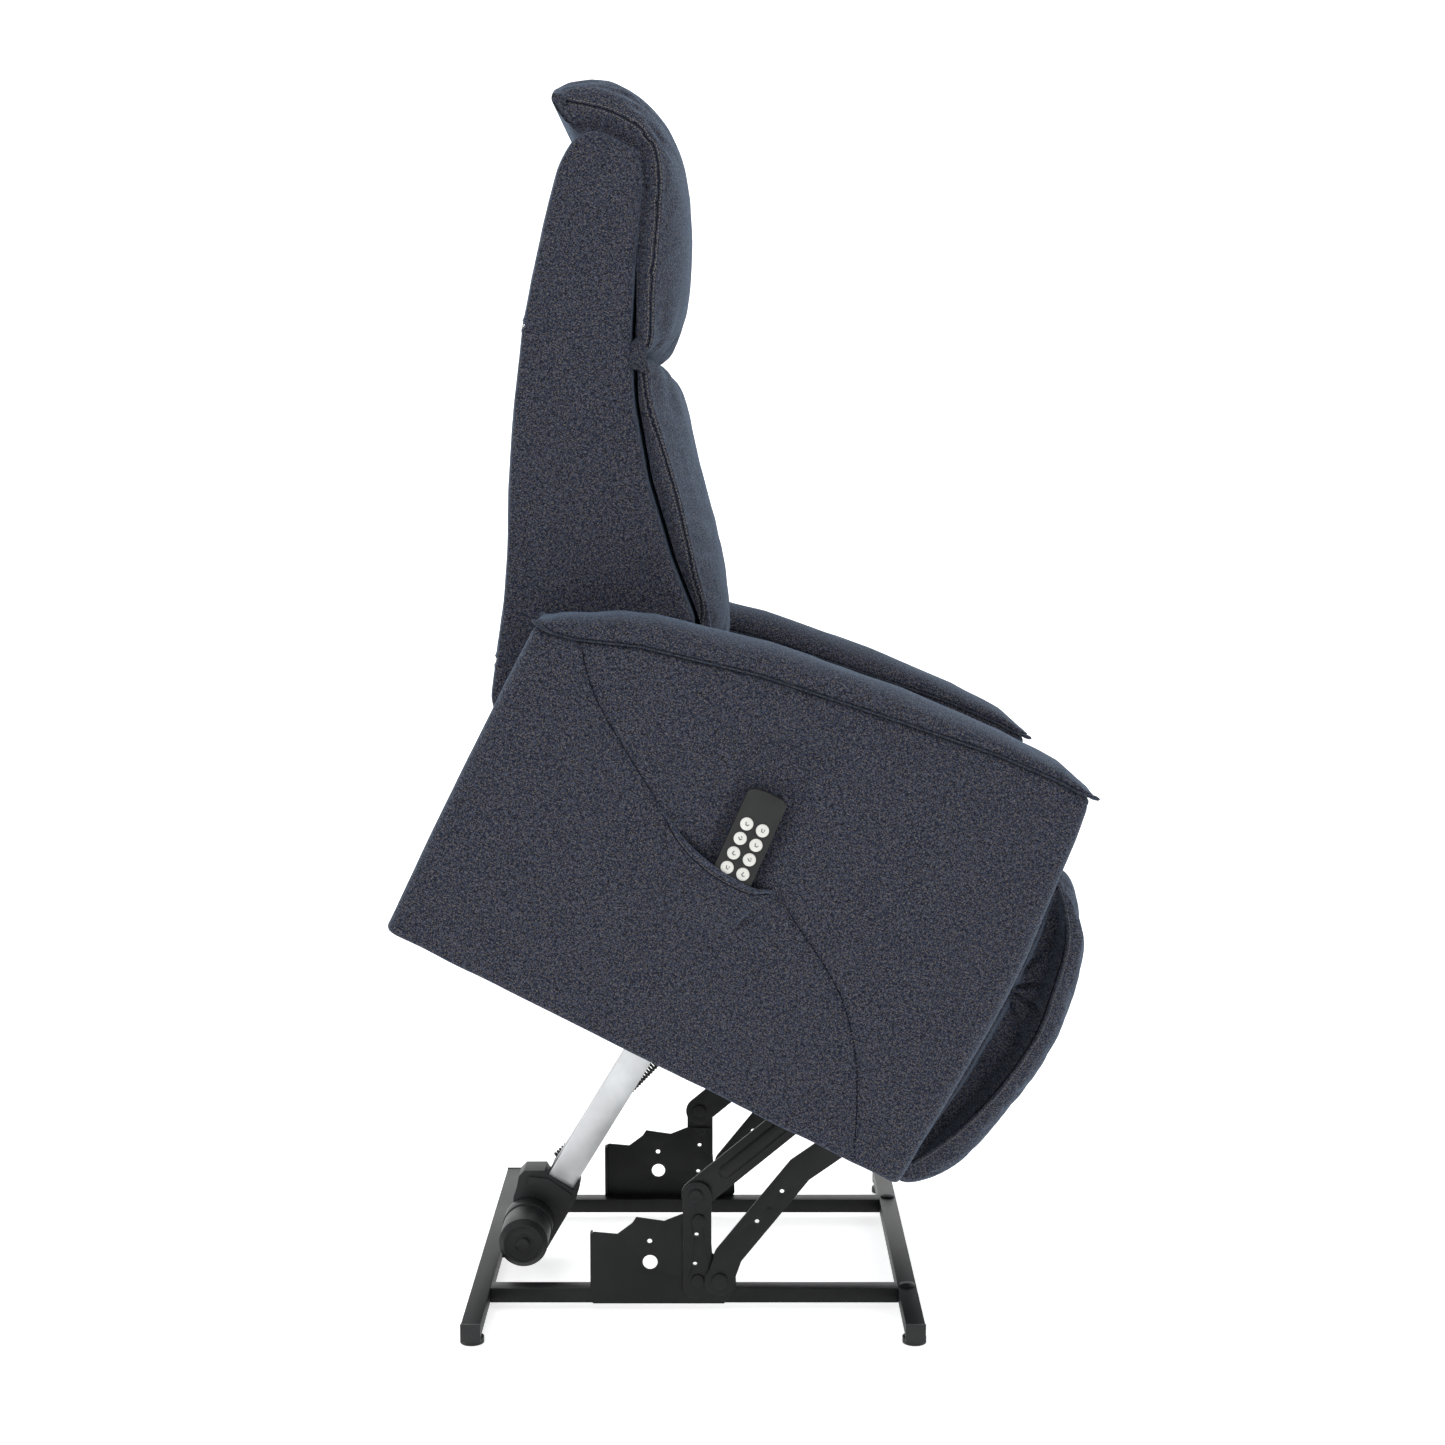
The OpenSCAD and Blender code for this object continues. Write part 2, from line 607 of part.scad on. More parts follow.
// ================= backrest =================
shell_outline = [[-214, 352], [-240, 330], [-362, 330], [-380, 386], [-405, 460], [-434, 530],
  [-466, 599], [-505, 692], [-540, 786], [-559, 860], [-577, 933], [-588, 983], [-585, 1024],
  [-560, 1047], [-501, 1046], [-481, 1015], [-445, 923], [-411, 843], [-369, 767],
  [-308, 686], [-235, 609], [-168, 550], [-176, 500], [-186, 484], [-206, 476]];
shell_hollow = [[-160, 500], [-200, 320], [-347, 320], [-368, 386], [-393, 458], [-422, 526],
  [-454, 595], [-493, 688], [-528, 782], [-547, 857], [-565, 930], [-575, 981], [-573, 1018],
  [-556, 1034], [-508, 1033], [-492, 1010], [-456, 918], [-422, 838], [-379, 761],
  [-317, 678], [-244, 600], [-182, 545]];
module back_shell() color(cloth) chair() difference() {
  slab(-back_half, back_half) polygon(shell_outline);
  slab(-back_half + 12, back_half - 12) polygon(shell_hollow);
}

// a bent post on each side, joined by four cross rails
spine = [[-290, 430], [-345, 600], [-465, 800], [-531, 990]];
module back_frame() color(wood) chair() {
  both() slab(y_bracket - 12, y_bracket - 0.1) strap(spine, 28);
  for (p = [spine[0] + (spine[1] - spine[0]) * 0.1, spine[1], spine[2], spine[3]])
    slab(-y_bracket + 8, y_bracket - 8) translate(p) square([22, 15], center = true);
}

// hinged side brackets, their cross tube, and the two levers the recline rod pulls on
module back_brackets() color(steel) chair() difference() {
  union() {
    both() slab(y_bracket, y_bracket + bracket_t) {
      dot(back_hinge, 25);
      strap([back_tube, [-262, 372], [-322, 526]], 32);
    }
    pin(back_tube, 9, -y_bracket - 1, y_bracket + 1);
    for (y = [77, 99]) slab(y, y + 4) bar(back_tube, back_lever, 20);
  }
  pin(back_hinge, pin_r + run_fit, -260, 260);
  pin(back_tube, 7, -y_bracket - 10, y_bracket + 10);
  pin(back_lever, 4.1, 60, 120);
}

lumbar_outline = [[-366, 827], [-321, 792], [-285, 750], [-231, 686], [-176, 621],
  [-145, 575], [-126, 542], [-116, 505], [-118, 478], [-168, 476], [-170, 500], [-163, 551],
  [-232, 611], [-305, 688], [-366, 769], [-386, 808]];
module lumbar_cushion() color(cloth) chair()
  slab(-seat_half, seat_half) polygon(lumbar_outline);

pillow_outline = [[-389, 814], [-366, 835], [-369, 862], [-380, 913], [-395, 955],
  [-412, 993], [-436, 1034], [-488, 1097], [-545, 1127], [-609, 1122], [-650, 1078],
  [-640, 1062], [-619, 1053], [-590, 1030], [-562, 1052], [-498, 1050], [-478, 1016],
  [-442, 924], [-408, 844]];
module head_pillow() color(cloth) chair() slab(-seat_half, seat_half) polygon(pillow_outline);

// ================= small actuators =================
// each runs from a pivot towards a target, laid along +X, with a rod that reaches it
small_rod_r = 8;
body_end = 268;
recline_y = 90;
leg_act_y = -90;
module aim(pivot, target, y)
  translate([pivot[0], y, pivot[1]]) rotate([0, -direction(pivot, target), 0]) children();

// roll turns the body about its axis; the motor hangs below at zero
module small_body(pivot, target, y, roll = 0) aim(pivot, target, y) rotate([roll, 0, 0])
  difference() {
    union() {
      pin([0, 0], 9, -8, 8);
      translate([0, -8, -9]) cube([20, 16, 18]);
      translate([16, -20, -22]) cube([62, 40, 44]);
      translate([46, 0, -20]) rotate([180, 0, 0]) cylinder(r = 19, h = 52);
      translate([46, 0, -72]) rotate([180, 0, 0]) cylinder(r1 = 19, r2 = 15, h = 5);
      along_x(78, 14, body_end - 78);
    }
    along_x(60, small_rod_r + 0.06, 400);
    pin([0, 0], 4.06, -20, 20);
  }
module small_rod(pivot, target, y, start, eye_half) aim(pivot, target, y) {
  reach = norm(target - pivot);
  difference() {
    union() {
      along_x(start, small_rod_r, reach - start - 14);
      translate([reach - 18, -eye_half, -7]) cube([18, 2 * eye_half, 14]);
      pin([reach, 0], 10, -eye_half, eye_half);
    }
    pin([reach, 0], 4.1, -30, 30);
  }
}
module recline_actuator() color(plastic) chair()
  small_body(recline_pivot, back_lever, recline_y, roll = 180);
module recline_rod() color(zinc) chair()
  small_rod(recline_pivot, back_lever, recline_y, start = 180, eye_half = 7.5);
module legrest_actuator() color(plastic) chair()
  small_body(leg_act_pivot, leg_lever, leg_act_y);
module legrest_rod() color(zinc) chair()
  small_rod(leg_act_pivot, leg_lever, leg_act_y, start = 190, eye_half = 5);

// ================= legrest linkage =================
module leg_link(y, a, b, w = leg_w) slab(y, y + leg_t) bar(a, b, w);

// rear links joined by a cross tube that carries the drive lever
module legrest_rear_links() color(steel) chair() difference() {
  union() {
    both() leg_link(y_leg_rear, leg_rear_top, leg_knee);
    pin(leg_cross, 9, -y_leg_rear - 1, y_leg_rear + 1);
    both() pin(leg_knee, leg_pin, y_leg_front - 1.2, y_leg_rear + 2);
    both() pin(leg_cross, leg_pin, y_leg_board - 10, y_leg_rear + 2);
    for (y = [-102, -82]) slab(y, y + 4) bar(leg_cross, leg_lever, 20);
  }
  both() pin(leg_rear_top, leg_top_r + run_fit, y_leg_rear - 5, y_leg_rear + 8);
  pin(leg_lever, 4.1, -120, -60);
  // the tube is cut back to its pin where the board link runs
  difference() {
    both() pin(leg_cross, 12, y_leg_board - 1, y_leg_rear - 0.5);
    both() pin(leg_cross, leg_pin, y_leg_board - 10, y_leg_rear + 2);
  }
}

module legrest_front_links() color(steel) chair() both() difference() {
  union() {
    leg_link(y_leg_front, leg_knee, board_low);
    slab(y_leg_front, y_leg_front + leg_t) dot(guide_low, 16);
    pin(board_low, leg_pin, y_board_plate - 1.2, y_leg_front + 2);
  }
  pin(leg_knee, leg_pin + run_fit, y_leg_front - 2, y_leg_front + 6);
  pin(guide_low, leg_pin + 5.5, y_leg_front - 2, y_leg_front + 6);
}

module legrest_guide_links() color(steel) chair() both() difference() {
  union() {
    leg_link(y_leg_guide, leg_guide_top, guide_low);
    pin(guide_low, leg_pin, y_leg_front - 0.6, y_leg_guide + 2);
  }
  pin(leg_guide_top, leg_top_r + run_fit, y_leg_guide - 2, y_leg_guide + 6);
}

module legrest_board_links() color(steel) chair() both() difference() {
  union() {
    leg_link(y_leg_board, leg_cross, board_high, leg_w - 6);
    pin(board_high, leg_pin, y_board_plate - 0.6, y_leg_board + 2);
  }
  pin(leg_cross, leg_pin + run_fit, y_leg_board - 2, y_leg_board + 6);
}

// board with an angle plate on each side for the link pins
angle_z = board_low[1] - 30;
module legrest_board() color(wood) chair() difference() {
  union() {
    translate([386, -205, 62]) cube([10, 410, 366]);
    both() slab(y_board_plate, y_board_plate + leg_t) {
      bar(board_low + [2, 0], board_high + [2, 0], 32);
      translate([board_low[0], angle_z]) square([14.6, 106]);
    }
    both() translate([383, y_board_plate - 16, angle_z]) cube([3.2, 20, 106]);
  }
  both() {
    pin(board_low, leg_pin + run_fit, y_board_plate - 2, y_board_plate + 6);
    pin(board_high, leg_pin + 6.8, y_board_plate - 2, y_board_plate + 6);
  }
}

pad_outline = [[397, 464], [401, 473], [432, 454], [450, 434], [472, 387], [478, 360],
  [484.5, 303.5], [484.7, 244.5], [477, 181], [459, 112], [438, 62], [417, 27.5], [403, 18],
  [397, 24]];
module legrest_pad() color(cloth) chair() slab(-pad_half, pad_half) polygon(pad_outline);

// ================= handset =================
remote_corner = 6;
remote_shoulder = 3; // drop from the middle of the arched top to its corners
arch_r = 110;
remote_face = remote_y + remote_t;
module handset() mirror([0, 1, 0]) chair() remote_place() children();
// centre of button i, in two columns numbered from the top
function button_at(i) = [i % 2 == 0 ? -10.5 : 10.5, remote_l / 2 - 45 - 19.6 * floor(i / 2)];

module remote_outline() {
  x = remote_w / 2;
  z = remote_l / 2;
  inner_w = remote_w - 2 * remote_corner;
  translate([-x + remote_corner, -z]) square([inner_w, remote_l - remote_shoulder]);
  translate([-x, -z + remote_corner])
    square([remote_w, remote_l - remote_shoulder - 2 * remote_corner]);
  for (s = [-1, 1]) {
    dot([s * (x - remote_corner), -z + remote_corner], remote_corner);
    dot([s * (x - remote_corner), z - remote_shoulder - remote_corner], remote_corner);
  }
  intersection() {
    dot([0, z - arch_r], arch_r);
    translate([-x + remote_corner, 0]) square([inner_w, remote_l]);
  }
}
module remote_case() color([0.1, 0.105, 0.11]) handset() difference() {
  intersection() {
    slab(remote_y, remote_face) union() remote_outline();
    translate([-remote_w, remote_y - 1, -remote_l / 2])
      cube([2 * remote_w, remote_t + 2, remote_l + 1]);
  }
  for (i = [0:7]) pin(button_at(i), button_d / 2 + 0.3, remote_face - 3, remote_face + 2);
}
module button(i) color([0.85, 0.84, 0.78]) handset() {
  pin(button_at(i), button_d / 2, remote_face - 1.8, remote_face + 0.8);
  cone(button_at(i), button_d / 2, button_d / 2 - 1.2, remote_face + 0.8, 0.7);
}

base_rear_tube();
base_front_tube();
base_rail_left();
base_rail_right();
lift_plate_left();
lift_plate_right();
lift_upright_left();
lift_upright_right();
base_feet();
base_rivets();
lift_pivot_pins();
actuator_foot_bracket();
rear_lift_link_left();
rear_lift_link_right();
front_lift_link_left();
front_lift_link_right();
link_torsion_tube();
side_plate_left();
side_plate_right();
seat_frame_tubes();
seat_springs();
seat_cushion();
arm_frame_left();
arm_frame_right();
arm_cover_left();
arm_cover_right();
arm_bolts();
power_box();
frame_pivot_pins();
remote_pocket();
lift_motor();
lift_gearbox();
lift_channel();
lift_screw();
motor_cable();
lift_nut();
back_brackets();
back_frame();
back_shell();
lumbar_cushion();
head_pillow();
recline_actuator();
recline_rod();
legrest_rear_links();
legrest_front_links();
legrest_guide_links();
legrest_board_links();
legrest_board();
legrest_pad();
legrest_actuator();
legrest_rod();
remote_case();
button(0);  // remote_button_1
button(1);  // remote_button_2
button(2);  // remote_button_3
button(3);  // remote_button_4
button(4);  // remote_button_5
button(5);  // remote_button_6
button(6);  // remote_button_7
button(7);  // remote_button_8
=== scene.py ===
# Looks of a lift recliner chair, shown tilted forward in its raised pose.
# Soft parts are laid out in the seated chair frame, in millimetres: +x is the front,
# +y the chair's left, +z up. to_world() carries them to the raised pose in metres.
import math

import bmesh
import bpy
import numpy as np
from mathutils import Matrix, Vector
from mathutils.bvhtree import BVHTree

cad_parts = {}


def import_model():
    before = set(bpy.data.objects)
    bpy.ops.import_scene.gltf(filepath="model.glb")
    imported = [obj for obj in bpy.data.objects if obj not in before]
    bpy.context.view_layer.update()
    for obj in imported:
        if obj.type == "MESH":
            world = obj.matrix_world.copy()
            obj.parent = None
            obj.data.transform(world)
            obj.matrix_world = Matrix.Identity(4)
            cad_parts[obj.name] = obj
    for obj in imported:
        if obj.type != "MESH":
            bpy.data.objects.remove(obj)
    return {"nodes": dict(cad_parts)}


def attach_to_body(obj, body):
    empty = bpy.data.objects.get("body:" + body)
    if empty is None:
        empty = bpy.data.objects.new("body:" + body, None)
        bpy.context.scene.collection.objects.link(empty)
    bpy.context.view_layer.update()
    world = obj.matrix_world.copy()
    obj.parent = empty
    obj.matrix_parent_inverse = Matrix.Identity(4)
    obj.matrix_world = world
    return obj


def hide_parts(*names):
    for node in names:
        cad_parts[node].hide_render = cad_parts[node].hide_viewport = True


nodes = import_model()["nodes"]
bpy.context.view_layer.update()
SCENE = bpy.context.scene

TILT = math.radians(27)
COS_TILT, SIN_TILT = math.cos(TILT), math.sin(TILT)
RAISED_X, RAISED_Z = -93.66, 354.24  # where the chair frame's origin ends up, mm
SIDES = ((-1, "right"), (1, "left"))


# ------------------------------------------------------------ frames and curves
def to_world(points):
    """Seated chair frame, mm -> raised world, metres."""
    x, y, z = np.asarray(points, float).reshape(-1, 3).T
    raised_x = x * COS_TILT + z * SIN_TILT + RAISED_X
    raised_z = -x * SIN_TILT + z * COS_TILT + RAISED_Z
    return np.stack([raised_x, y, raised_z], 1) / 1000.0


def to_chair_axes(vectors):
    """Turns world directions to the seated chair frame."""
    x, y, z = np.asarray(vectors, float).reshape(-1, 3).T
    return np.stack([x * COS_TILT - z * SIN_TILT, y, x * SIN_TILT + z * COS_TILT], 1)


def to_chair(points):
    """Raised world, metres -> seated chair frame, mm."""
    points = np.asarray(points, float).reshape(-1, 3) * 1000
    return to_chair_axes(points - (RAISED_X, 0, RAISED_Z))


def unit(vectors):
    return vectors / np.maximum(np.linalg.norm(vectors, axis=1), 1e-9)[:, None]


def arc_lengths(curve):
    steps = np.linalg.norm(np.diff(curve, axis=0), axis=1)
    return np.concatenate([[0], np.cumsum(steps)])


def sample(values, lengths, where):
    """Values along a curve, read at the given arc lengths."""
    return np.stack([np.interp(where, lengths, column) for column in values.T], -1)


def even(curve, count):
    """The curve again, as count evenly spaced points."""
    lengths = arc_lengths(curve)
    return sample(curve, lengths, np.linspace(0, lengths[-1], count))


def spline(points, count):
    """count evenly spaced points along a centripetal Catmull-Rom curve."""
    points = np.asarray(points, float)
    ends = 2 * points[0] - points[1], 2 * points[-1] - points[-2]
    padded = np.vstack([ends[0], points, ends[1]])

    def between(knot, start, end, first, second):
        span = end - start
        return (end - knot) / span * first + (knot - start) / span * second

    curve = []
    for i in range(1, len(padded) - 2):
        p0, p1, p2, p3 = padded[i - 1:i + 3]
        k0 = 0.0
        k1 = k0 + max(np.linalg.norm(p1 - p0), 1e-6) ** 0.5
        k2 = k1 + max(np.linalg.norm(p2 - p1), 1e-6) ** 0.5
        k3 = k2 + max(np.linalg.norm(p3 - p2), 1e-6) ** 0.5
        for knot in np.linspace(k1, k2, 24, endpoint=False):
            low = between(knot, k0, k1, p0, p1)
            mid = between(knot, k1, k2, p1, p2)
            high = between(knot, k2, k3, p2, p3)
            low = between(knot, k0, k2, low, mid)
            high = between(knot, k1, k3, mid, high)
            curve.append(between(knot, k1, k2, low, high))
    curve.append(padded[-2])
    return even(np.array(curve), count)


def smooth(low, high, x):
    """Smooth step from 0 at low to 1 at high."""
    share = np.clip((np.asarray(x, float) - low) / (high - low), 0, 1)
    return share * share * (3 - 2 * share)


def bell(distance, width):
    return np.exp(-(distance / width) ** 2)


def to_curve(points, curve):
    """Distance from each point to a polyline, and the fraction along it."""
    nearest_yet = np.full(len(points), 1e9)
    fraction = np.zeros(len(points))
    lengths = arc_lengths(curve)
    for i in range(len(curve) - 1):
        step = curve[i + 1] - curve[i]
        squared = step @ step
        if squared < 1e-12:
            continue
        share = np.clip(((points - curve[i]) @ step) / squared, 0, 1)
        distance = np.linalg.norm(points - curve[i] - share[:, None] * step, axis=1)
        closer = distance < nearest_yet
        nearest_yet[closer] = distance[closer]
        along = lengths[i] + share[closer] * math.sqrt(squared)
        fraction[closer] = along / lengths[-1]
    return nearest_yet, fraction


def drag(points, start, end, amount, width, fade=1):
    """Depth of a pulled fold that dies out from start to end."""
    distance, along = to_curve(points, np.array([start, end], float))
    return amount * bell(distance, width) * (1 - along) ** fade


def lattice(points, size, seed):
    """Smooth value noise, about -1..1 at each point."""
    scaled = np.asarray(points, float) / size + seed * 17.31
    cell = np.floor(scaled).astype(np.int64)
    part = scaled - cell
    part = part * part * part * (part * (part * 6 - 15) + 10)
    total = np.zeros(len(scaled))
    for corner in np.ndindex(2, 2, 2):
        x, y, z = (cell + corner).T
        key = (x * 73856093) ^ (y * 19349663) ^ (z * 83492791) ^ (seed * 2654435761)
        key = (key ^ (key >> 13)) * 1274126177
        value = ((key ^ (key >> 16)) & 0xFFFF) / 32767.5 - 1
        share = np.where(corner, part, 1 - part)
        total += value * (share[:, 0] * share[:, 1] * share[:, 2])
    return total


def waves(points, *layers):
    """Noise summed from layers of (size mm, seed, height mm)."""
    return sum(lattice(points, size, seed) * height for size, seed, height in layers)


def soften(values, times):
    """Averages a row of values with its neighbours, ends held."""
    values = np.array(values, float)
    for _ in range(times):
        softer = values.copy()
        softer[1:-1] = 0.25 * values[:-2] + 0.5 * values[1:-1] + 0.25 * values[2:]
        values = softer
    return values


def tangents(curve):
    return unit(np.gradient(curve, axis=0))


def at_side(curve, y):
    """An (x, z) curve laid at one y."""
    return np.stack([curve[:, 0], np.full(len(curve), float(y)), curve[:, 1]], 1)


def side_curve(points, y):
    return at_side(spline(points, 200), y)


def across(x, z, half_width, count):
    """A straight line across the chair."""
    ys = np.linspace(-half_width, half_width, count)
    return np.stack([np.full(count, float(x)), ys, np.full(count, float(z))], 1)


def inset(loop, depth):
    """A closed 2-D loop, first point not repeated, moved inwards."""
    loop = np.asarray(loop, float)
    ahead = np.roll(loop, -1, 0)
    along = unit(ahead - np.roll(loop, 1, 0))
    inward = np.stack([-along[:, 1], along[:, 0]], 1)
    area = 0.5 * np.sum(loop[:, 0] * ahead[:, 1] - ahead[:, 0] * loop[:, 1])
    if area < 0:
        inward = -inward
    return loop + inward * depth


def oval(radius, count, stretch=1.0):
    """Section of a swept cord, stretched across it."""
    angle = np.arange(count) * 2 * math.pi / count
    return np.stack([stretch * radius * np.cos(angle), radius * np.sin(angle)], 1)


# ------------------------------------------------------------ materials
class Graph:
    """Short forms for building a node graph."""

    def __init__(self, tree):
        self.tree = tree

    def feed(self, value, socket):
        if isinstance(value, bpy.types.NodeSocket):
            self.tree.links.new(value, socket)
        else:
            socket.default_value = (*value, 1) if socket.type == "RGBA" else value

    def feed_all(self, node, inputs):
        for key, value in inputs.items():
            self.feed(value, node.inputs[key])

    def node(self, kind, inputs={}, **settings):
        node = self.tree.nodes.new(kind)
        for key, value in settings.items():
            setattr(node, key, value)
        self.feed_all(node, inputs)
        return node

    def math(self, operation, first, second=None, clamp=False):
        inputs = {0: first} if second is None else {0: first, 1: second}
        node = self.node("ShaderNodeMath", inputs, operation=operation, use_clamp=clamp)
        return node.outputs[0]

    def scaled(self, vector, factors):
        inputs = {0: vector, 1: factors}
        return self.node("ShaderNodeVectorMath", inputs, operation="MULTIPLY").outputs[0]

    def split(self, vector):
        return self.node("ShaderNodeSeparateXYZ", {0: vector}).outputs

    def noise(self, vector, scale, detail=2.0, rough=0.5):
        inputs = {"Vector": vector, "Scale": scale, "Detail": detail, "Roughness": rough}
        return self.node("ShaderNodeTexNoise", inputs).outputs[0]

    def ramp(self, value, *stops):
        """Colour ramp from (position, colour) stops."""
        node = self.node("ShaderNodeValToRGB", {0: value})
        elements = node.color_ramp.elements
        while len(elements) < len(stops):
            elements.new(0.5)
        for element, (position, color) in zip(elements, stops):
            element.position = position
            element.color = (*color, 1)
        return node.outputs[0]

    def mask(self, value, low, high):
        return self.ramp(value, (low, (0, 0, 0)), (high, (1, 1, 1)))

    def mix(self, amount, first, second):
        inputs = {0: amount, 6: first, 7: second}
        node = self.node("ShaderNodeMix", inputs, data_type="RGBA", blend_type="MIX")
        return node.outputs[2]

    def bump(self, height, strength, distance):
        inputs = {"Height": height, "Strength": strength, "Distance": distance}
        return self.node("ShaderNodeBump", inputs).outputs[0]


def new_material(name):
    material = bpy.data.materials.new(name)
    material.use_nodes = True
    material.node_tree.nodes.clear()
    graph = Graph(material.node_tree)
    output = graph.node("ShaderNodeOutputMaterial")
    shader = graph.node("ShaderNodeBsdfPrincipled")
    graph.feed(shader.outputs[0], output.inputs[0])
    return material, graph, shader


def fabric(name, dark, mid, light, fleck, sheen=0.17, painted_sheen_tint=(0.16, 0.26, 0.40)):
    """Woven melange upholstery. The weave is laid on by the face's main
    direction in the chair frame, so no unwrapping is needed."""
    material, graph, shader = new_material(name)
    math_ = graph.math
    coords = graph.node("ShaderNodeTexCoord")

    def turned_back(source, kind):
        inputs = {"Rotation": (0, -TILT, 0), "Vector": source}
        return graph.node("ShaderNodeMapping", inputs, vector_type=kind).outputs[0]

    position = graph.scaled(turned_back(coords.outputs["Object"], "POINT"), (1000, 1000, 1000))
    facing = graph.node("ShaderNodeVectorMath", operation="ABSOLUTE")
    graph.feed(turned_back(coords.outputs["Normal"], "NORMAL"), facing.inputs[0])
    facing_x, facing_y, facing_z = graph.split(facing.outputs[0])
    x, y, z = graph.split(position)
    is_side = math_("GREATER_THAN", facing_y, math_("MAXIMUM", facing_x, facing_z))
    is_top = math_("GREATER_THAN", facing_z, facing_x)

    def choose(test, yes, no):
        return math_("ADD", math_("MULTIPLY", test, yes),
                     math_("MULTIPLY", math_("SUBTRACT", 1.0, test), no))

    def centred(value, amount):
        return math_("MULTIPLY", math_("SUBTRACT", value, 0.5), amount)

    across_weave = choose(is_side, x, choose(is_top, x, y))
    along_weave = choose(is_side, z, choose(is_top, y, z))
    # a little drift, in mm, so that threads do not run ruler straight
    drift = graph.noise(position, scale=0.012)
    across_weave = math_("ADD", across_weave, centred(drift, amount=9.0))
    drift = graph.noise(position, scale=0.011)
    along_weave = math_("ADD", along_weave, centred(drift, amount=8.0))

    def threads(across_scale, along_scale, offset, detail, rough):
        """Noise drawn out along the threads."""
        vector = graph.node("ShaderNodeCombineXYZ", {
            0: math_("MULTIPLY", across_weave, across_scale),
            1: math_("MULTIPLY", along_weave, along_scale),
            2: offset}).outputs[0]
        return graph.noise(vector, scale=1.0, detail=detail, rough=rough)

    warp = threads(across_scale=0.62, along_scale=0.16, offset=1.0, detail=2, rough=0.6)
    weft = threads(across_scale=0.15, along_scale=0.62, offset=7.0, detail=2, rough=0.6)
    thread = math_("MULTIPLY", math_("ADD", warp, weft), 0.5)
    blotch = graph.noise(position, scale=0.035, detail=3, rough=0.55)
    tone = math_("ADD", centred(thread, amount=3.9), 0.48)
    tone = math_("ADD", tone, centred(blotch, amount=0.16), clamp=True)
    dark_at, mid_at, light_at = 0.18, 0.5, 0.82
    color = graph.ramp(tone, (dark_at, dark), (mid_at, mid), (light_at, light))
    # pale flecks of the melange
    fleck_warp = threads(across_scale=0.85, along_scale=0.34, offset=13.0, detail=1, rough=0.5)
    fleck_weft = threads(across_scale=0.33, along_scale=0.85, offset=19.0, detail=1, rough=0.5)
    flecks = graph.mask(math_("MAXIMUM", fleck_warp, fleck_weft), low=0.575, high=0.69)
    fleck_strength = 0.72
    color = graph.mix(math_("MULTIPLY", flecks, fleck_strength), color, fleck)
    # painted sheen: at glancing angles the base colour turns towards a lighter blue pile tint,
    # standing in for light caught by the pile
    layer = graph.node("ShaderNodeLayerWeight", {"Blend": 0.32})
    painted_sheen_falloff, painted_sheen_strength = 2.6, 0.32
    edge = math_("POWER", layer.outputs["Facing"], painted_sheen_falloff)
    painted_sheen_shades = [tuple(channel * factor for channel in painted_sheen_tint) for factor in (0.42, 0.85, 1.45)]
    painted_sheen_color = graph.ramp(tone, *zip((dark_at, mid_at, light_at), painted_sheen_shades))
    color = graph.mix(math_("MULTIPLY", edge, painted_sheen_strength), color, painted_sheen_color)
    # height: a plain weave, plus thicker threads and a slow unevenness
    weave_pitch = 1.5  # mm
    turns = 2 * math.pi / weave_pitch
    weave = math_("MULTIPLY", math_("SINE", math_("MULTIPLY", across_weave, turns)),
                  math_("SINE", math_("MULTIPLY", along_weave, turns)))
    weave_height, thread_height, uneven_height = 0.25, 1.6, 0.8
    height = math_("ADD", math_("MULTIPLY", weave, weave_height),
                   math_("MULTIPLY", thread, thread_height))
    uneven = graph.noise(position, scale=0.09, detail=3, rough=0.6)
    height = math_("ADD", height, math_("MULTIPLY", uneven, uneven_height))
    graph.feed_all(shader, {
        "Base Color": color,
        "Normal": graph.bump(height, strength=0.6, distance=0.0011),
        "Roughness": 0.93,
        "Specular IOR Level": 0.18,
        "Sheen Weight": sheen,
        "Sheen Roughness": 0.36,
        "Sheen Tint": (0.45, 0.62, 0.85)})
    return material


